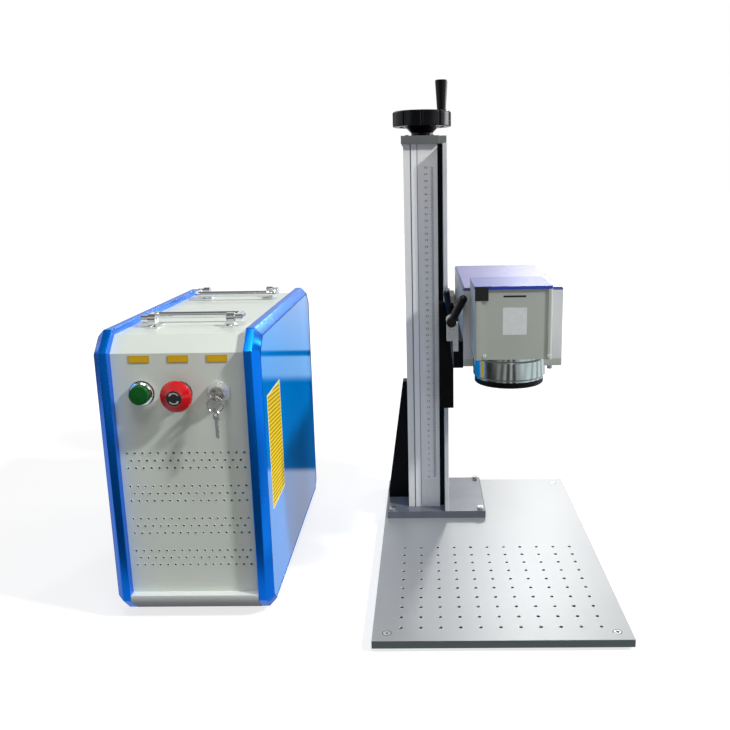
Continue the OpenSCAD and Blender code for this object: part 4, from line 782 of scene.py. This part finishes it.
dress(black, "carriage", "head_bracket", edge=MILLED_EDGE)
bare = Finish("bare milled aluminium", BARE_SILVER, metallic=0.7)
bare.set("Roughness", 0.22 + 0.14 * bare.noise(150, stretch=(1, 30, 1)))
dress(bare, "clamp_block", edge=SMALL_EDGE)

# Marking head. A base plate in satin silver, a folded cover and end plates in a paler satin
# paint, and a blue lid. Dark socket screws hold the cover along its right side.
HEAD_SILVER = (0.53, 0.565, 0.51)
HEAD_PALE = (0.64, 0.65, 0.67)
LID_BLUE = (0.10, 0.105, 0.36)
SATIN_GRAIN = 0.00003
LID_EDGE = 0.0004
SOCKET_SCREW = ((0.0, 0.0006), (0.0009, 0.0006), (0.0010, 0.0014), (0.0019, 0.0014), (0.0021, 0.0))
HEAD_SCREW_Y = 0.008
HEAD_SCREW_UP = 0.018
HEAD_SCREW_DOWN = 0.022

head_silver = Finish("satin silver", HEAD_SILVER, metallic=0.3)
head_silver.set("Roughness", 0.3 + 0.1 * head_silver.noise(90))
head_silver.mottled(12, 0.93)
head_pale = Finish("pale satin paint", HEAD_PALE)
head_pale.set("Roughness", 0.34 + 0.1 * head_pale.noise(90))
head_pale.mottled(12, 0.95)
for paint in (head_silver, head_pale):
    paint.bump(paint.noise(1200), SATIN_GRAIN, 0.35)
lid_blue = Finish("blue lid", LID_BLUE, metallic=0.1, coat=0.2)
lid_blue.set("Roughness", 0.26 + 0.1 * lid_blue.noise(90))
lid_blue.mottled(20, 0.9)
dress(head_silver, "head_base_plate", edge=SMALL_EDGE)
dress(head_pale, "head_cover", "head_end_plates", edge=SMALL_EDGE)
dress(lid_blue, "head_lid", edge=LID_EDGE)
cover_low, cover_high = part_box("head_cover")
head_screws = [(cover_high.x, y, z) for y in (cover_low.y + HEAD_SCREW_Y, cover_high.y - HEAD_SCREW_Y)
               for z in (cover_low.z + HEAD_SCREW_UP, cover_high.z - HEAD_SCREW_DOWN)]
turned("head_screws", head_screws, "+X", SOCKET_SCREW, dark_plastic, "carriage_unit",
       sides=12)

# Galvo case. A thick satin extrusion under its own blue lid; its front carries a bare black
# label, a bare white sticker, a black sheet of painted shade inside its slit, and two bright
# corner screws.
LID_ROYAL = (0.015, 0.05, 0.42)
LABEL_BLACK = (0.010, 0.010, 0.013)
FILM_WHITE = (0.74, 0.76, 0.76)
FRONT_RECESS = 0.0018
LABEL_X = (0.1406, 0.1570)
LABEL_Z = (0.4165, 0.4336)
LABEL_T = 0.0003
LABEL_CORNER = 0.0006
FILM_X = (0.1746, 0.2040)
FILM_Z = (0.3740, 0.4076)
FILM_DEPTHS = (-0.0001, 0.0002)
FILM_CORNER = 0.0008
SLIT_X = (0.1752, 0.2027)
SLIT_Z = (0.4201, 0.4225)
SLIT_SHADE_DEPTHS = (0.0003, 0.0005)
CASE_SCREW_LEFT = 0.0125
CASE_SCREW_RIGHT = 0.0035
CASE_SCREW_UP = 0.0045

lid_royal = Finish("royal blue lid", LID_ROYAL, metallic=0.1, coat=0.3)
lid_royal.set("Roughness", 0.2 + 0.1 * lid_royal.noise(90))
lid_royal.mottled(20, 0.9)
dress(head_silver, "galvo_case", edge=SMALL_EDGE)
dress(lid_royal, "galvo_lid", edge=LID_EDGE)
case_low, case_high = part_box("galvo_case")
recess_y = case_low.y + FRONT_RECESS
label_black = Finish("black label film", LABEL_BLACK)
label_black.set("Roughness", 0.26 + 0.1 * label_black.noise(300))
label_white = Finish("white sticker film", FILM_WHITE, roughness=0.35, coat=0.3)
label_white.mottled(200, 0.93)
plate("galvo_label", rounded(*zip(LABEL_X, LABEL_Z), LABEL_CORNER), "Y", case_low.y - LABEL_T, recess_y,
      label_black, "carriage_unit", "black_aluminium")
film_y = [recess_y + depth for depth in FILM_DEPTHS]
plate("galvo_sticker", rounded(*zip(FILM_X, FILM_Z), FILM_CORNER), "Y", *film_y, label_white,
      "carriage_unit", "scale_white")
# Painted shade: a black sheet set just inside the slit stands for the shade in it.
slit_shade_outline = [(SLIT_X[i], SLIT_Z[j]) for i, j in ((0, 0), (1, 0), (1, 1), (0, 1))]
slit_shade_y = [recess_y + depth for depth in SLIT_SHADE_DEPTHS]
plate("galvo_slit_shade", slit_shade_outline, "Y", *slit_shade_y, label_black, "carriage_unit", "black_aluminium")
screw_z = case_low.z + CASE_SCREW_UP
corner_screws = [(case_low.x + CASE_SCREW_LEFT, recess_y, screw_z),
                 (case_high.x - CASE_SCREW_RIGHT, case_low.y, screw_z)]
turned("galvo_screws", corner_screws, "-Y", SOCKET_SCREW, bright, "carriage_unit")

# Scanner. Two small motors in bead-blasted clamps inside the galvo case, each with a coated
# glass mirror on its shaft.
MIRROR = (0.85, 0.87, 0.90)

mirror = Finish("coated mirror", MIRROR, metallic=1.0)
mirror.set("Roughness", 0.02 + 0.02 * mirror.noise(50))
dress(cast_grey, "galvo_motors")
dress(mirror, "galvo_mirror_x", "galvo_mirror_y")

# Scan lens. A turned and chromed barrel with a black ring, which holds a coated glass lens
# whose face bulges towards the work.
BARREL_STEEL = (0.46, 0.50, 0.48)
GLASS_BLUE = (0.012, 0.020, 0.030)
GLASS_VIOLET = (0.030, 0.012, 0.034)
GLASS_R = 0.0325
GLASS_BULGE = 0.0035
GLASS_ANGLES = (0.1, 1.45)
GLASS_STEPS = 10

turned_steel = Finish("turned bright steel", BARREL_STEEL, metallic=1.0)
turned_steel.set("Roughness", 0.12 + 0.06 * turned_steel.noise(40, stretch=(1, 1, 30)))
dress(turned_steel, "scan_lens")
dress(black, "lens_ring")
coated = Finish("coated lens glass", GLASS_BLUE, roughness=0.04, coat=1.0, coat_roughness=0.01)
coated.set("Base Color", coated.mixed(coated.noise(30).rise(0.3, 0.7), GLASS_BLUE, GLASS_VIOLET))
lens = middle("lens_ring")
bulge = [(0.0, GLASS_BULGE)]
for step in range(GLASS_STEPS + 1):
    angle = GLASS_ANGLES[0] + (GLASS_ANGLES[1] - GLASS_ANGLES[0]) * step / GLASS_STEPS
    bulge.append((GLASS_R * math.sin(angle) / math.sin(GLASS_ANGLES[1]), GLASS_BULGE * math.cos(angle)))
turned("lens_glass", [(lens.x, lens.y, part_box("lens_ring")[1].z)], "-Z", bulge, coated, "carriage_unit",
       sides=48)

# Studio. A pale floor that the camera sees as white with the object's shadow, and metal sees as
# a room with light and dark bands, a small key from the right, soft lamps, and the camera.
CAMERA_AT = (0.0799, -1.1415, 0.5565)
CAMERA_TURN = (77.205, 0.878, 0.787)
CAMERA_LENS = 39.418
CAMERA_SENSOR = 36.0
CAMERA_SHIFT = -0.0646
CAMERA_REACH = 50
NO_LIGHT = (0, 0, 0)
FULL_LIGHT = (1, 1, 1)
FLOOR_BODY = (0.35, 0.35, 0.35)
FLOOR_HALF = 8.0
GLOW_FADE = (0.8, 3.0)
ROOM_Y = (-2.8, 5.2)
ROOM_BANDS = [(0.0, (0.8, 0.8, 0.8)), (0.305, (0.02, 0.02, 0.02)), (0.31, (0.55, 0.56, 0.62)),
              (0.397, (0.60, 0.61, 0.68)), (0.398, (0.01, 0.03, 0.06)), (0.49, (0.0, 0.02, 0.05)),
              (0.499, (0.40, 0.62, 0.82)), (0.533, (0.42, 0.66, 0.85)), (0.535, (0.0, 0.01, 0.03)),
              (0.545, (0.0, 0.01, 0.03)), (0.546, (0.45, 0.68, 0.90)), (0.7, (0.80, 0.86, 0.92))]
FRONT_Y = (-0.36, -0.30)
STREAKS_Y = (-1.25, -0.9)
STREAK_PITCH = 0.46
STREAK_SOFTNESS = (0.5, 0.75)
SIDE_X = (0.75, 1.0)
SIDE_PITCH = 0.55
SIDE_SOFTNESS = (0.2, 0.4)
SIDE_SHADES = ((0.30, 0.38, 0.45), (1.1, 1.2, 1.25))
SKY_TOP = (0.6, 0.8)
SKY_FOOT = (0.18, 0.32)
SKY_FRONT = (0.0, 0.3)


def ray(net, kind):
    """1 for a Camera, Glossy or Transmission ray, and 0 for any other."""
    return net.node("ShaderNodeLightPath", {}, {}, out=f"Is {kind} Ray")


floor_finish = Finish("pale floor", FLOOR_BODY, roughness=0.8, specular=0.0)
seen, glossy = ray(floor_finish, "Camera"), ray(floor_finish, "Glossy")
width, depth = floor_finish.axis("X"), floor_finish.axis("Y")
far = (width * width + depth * depth).rise(*GLOW_FADE)
front = 1 - depth.rise(*FRONT_Y)
streaks = (1 - depth.rise(*STREAKS_Y)) * width.wave(STREAK_PITCH).rise(*STREAK_SOFTNESS)
before = floor_finish.mixed(front * (0.04 + 0.7 * streaks), NO_LIGHT, FULL_LIGHT)
behind = floor_finish.node("ShaderNodeValToRGB", {"stops": ROOM_BANDS}, {"Fac": depth.rise(*ROOM_Y)})
beside = floor_finish.mixed(depth.wave(SIDE_PITCH).rise(*SIDE_SOFTNESS), *SIDE_SHADES)
mirrored = floor_finish.mixed(width.rise(*SIDE_X), floor_finish.mixed(front, behind, before), beside)
glow = floor_finish.mixed(seen * (0.76 + 0.24 * far), NO_LIGHT, FULL_LIGHT)
floor_finish.set("Base Color", floor_finish.mixed(glossy, FLOOR_BODY, NO_LIGHT))
floor_finish.set("Emission Color", floor_finish.mixed(glossy, glow, mirrored))
floor_finish.set("Emission Strength", 1.0)
floor_mesh = bpy.data.meshes.new("floor")
floor_corners = [(x * FLOOR_HALF, y * FLOOR_HALF, 0) for x, y in ((-1, -1), (1, -1), (1, 1), (-1, 1))]
floor_mesh.from_pydata(floor_corners, [], [(0, 1, 2, 3)])
floor_mesh.materials.append(floor_finish.material)
floor = bpy.data.objects.new("floor", floor_mesh)
bpy.context.scene.collection.objects.link(floor)


def lamp(name, place, aim, size, power):
    """A rectangular lamp that looks at a point."""
    light = bpy.data.lights.new(name, "AREA")
    light.shape = "RECTANGLE"
    light.size, light.size_y = size
    light.energy = power
    stand = bpy.data.objects.new(name, light)
    stand.location = place
    stand.rotation_euler = (Vector(aim) - Vector(place)).to_track_quat("-Z", "Y").to_euler()
    bpy.context.scene.collection.objects.link(stand)


lamp("key", place=(2.2, -1.0, 2.35), aim=(0, 0, 0.25), size=(0.22, 0.22), power=80)
lamp("low_back", place=(0.66, 2.72, 1.65), aim=(0.1, 0, 0.05), size=(0.25, 0.25), power=19)
lamp("front_softbox", place=(0.0, -1.05, 3.1), aim=(0, 0, 0.3), size=(1.4, 1.2), power=31)
lamp("side_fill", place=(2.6, 1.3, 0.9), aim=(0, 0, 0.2), size=(1.2, 1.2), power=28)

world = bpy.data.worlds.new("studio")
bpy.context.scene.world = world
world.use_nodes = True
sky = Net(world.node_tree, world.node_tree.nodes["Background"])
seen, glossy, through = ray(sky, "Camera"), ray(sky, "Glossy"), ray(sky, "Transmission")
x, y, z = (sky.axis(letter, "Generated") for letter in "XYZ")
facing = (-1 * y - x.away(0) * 0.8).rise(*SKY_FRONT)
high = z.rise(*SKY_TOP)
low = 1 - z.rise(*SKY_FOOT)
mirrored = 1.0 - 0.45 * low - 0.85 * high - 0.5 * facing * (1 - high)
sky.set("Color", (1, 1, 1, 1))
sky.set("Strength", seen + through + glossy * mirrored + (1 - seen - through - glossy) * 0.2)

camera = bpy.data.cameras.new("camera")
camera.sensor_width = CAMERA_SENSOR
camera.lens = CAMERA_LENS
camera.shift_x = CAMERA_SHIFT
camera.clip_end = CAMERA_REACH
viewpoint = bpy.data.objects.new("camera", camera)
viewpoint.location = CAMERA_AT
viewpoint.rotation_euler = tuple(math.radians(turn) for turn in CAMERA_TURN)
bpy.context.scene.collection.objects.link(viewpoint)
bpy.context.scene.camera = viewpoint
bpy.context.scene.view_settings.view_transform = "Standard"
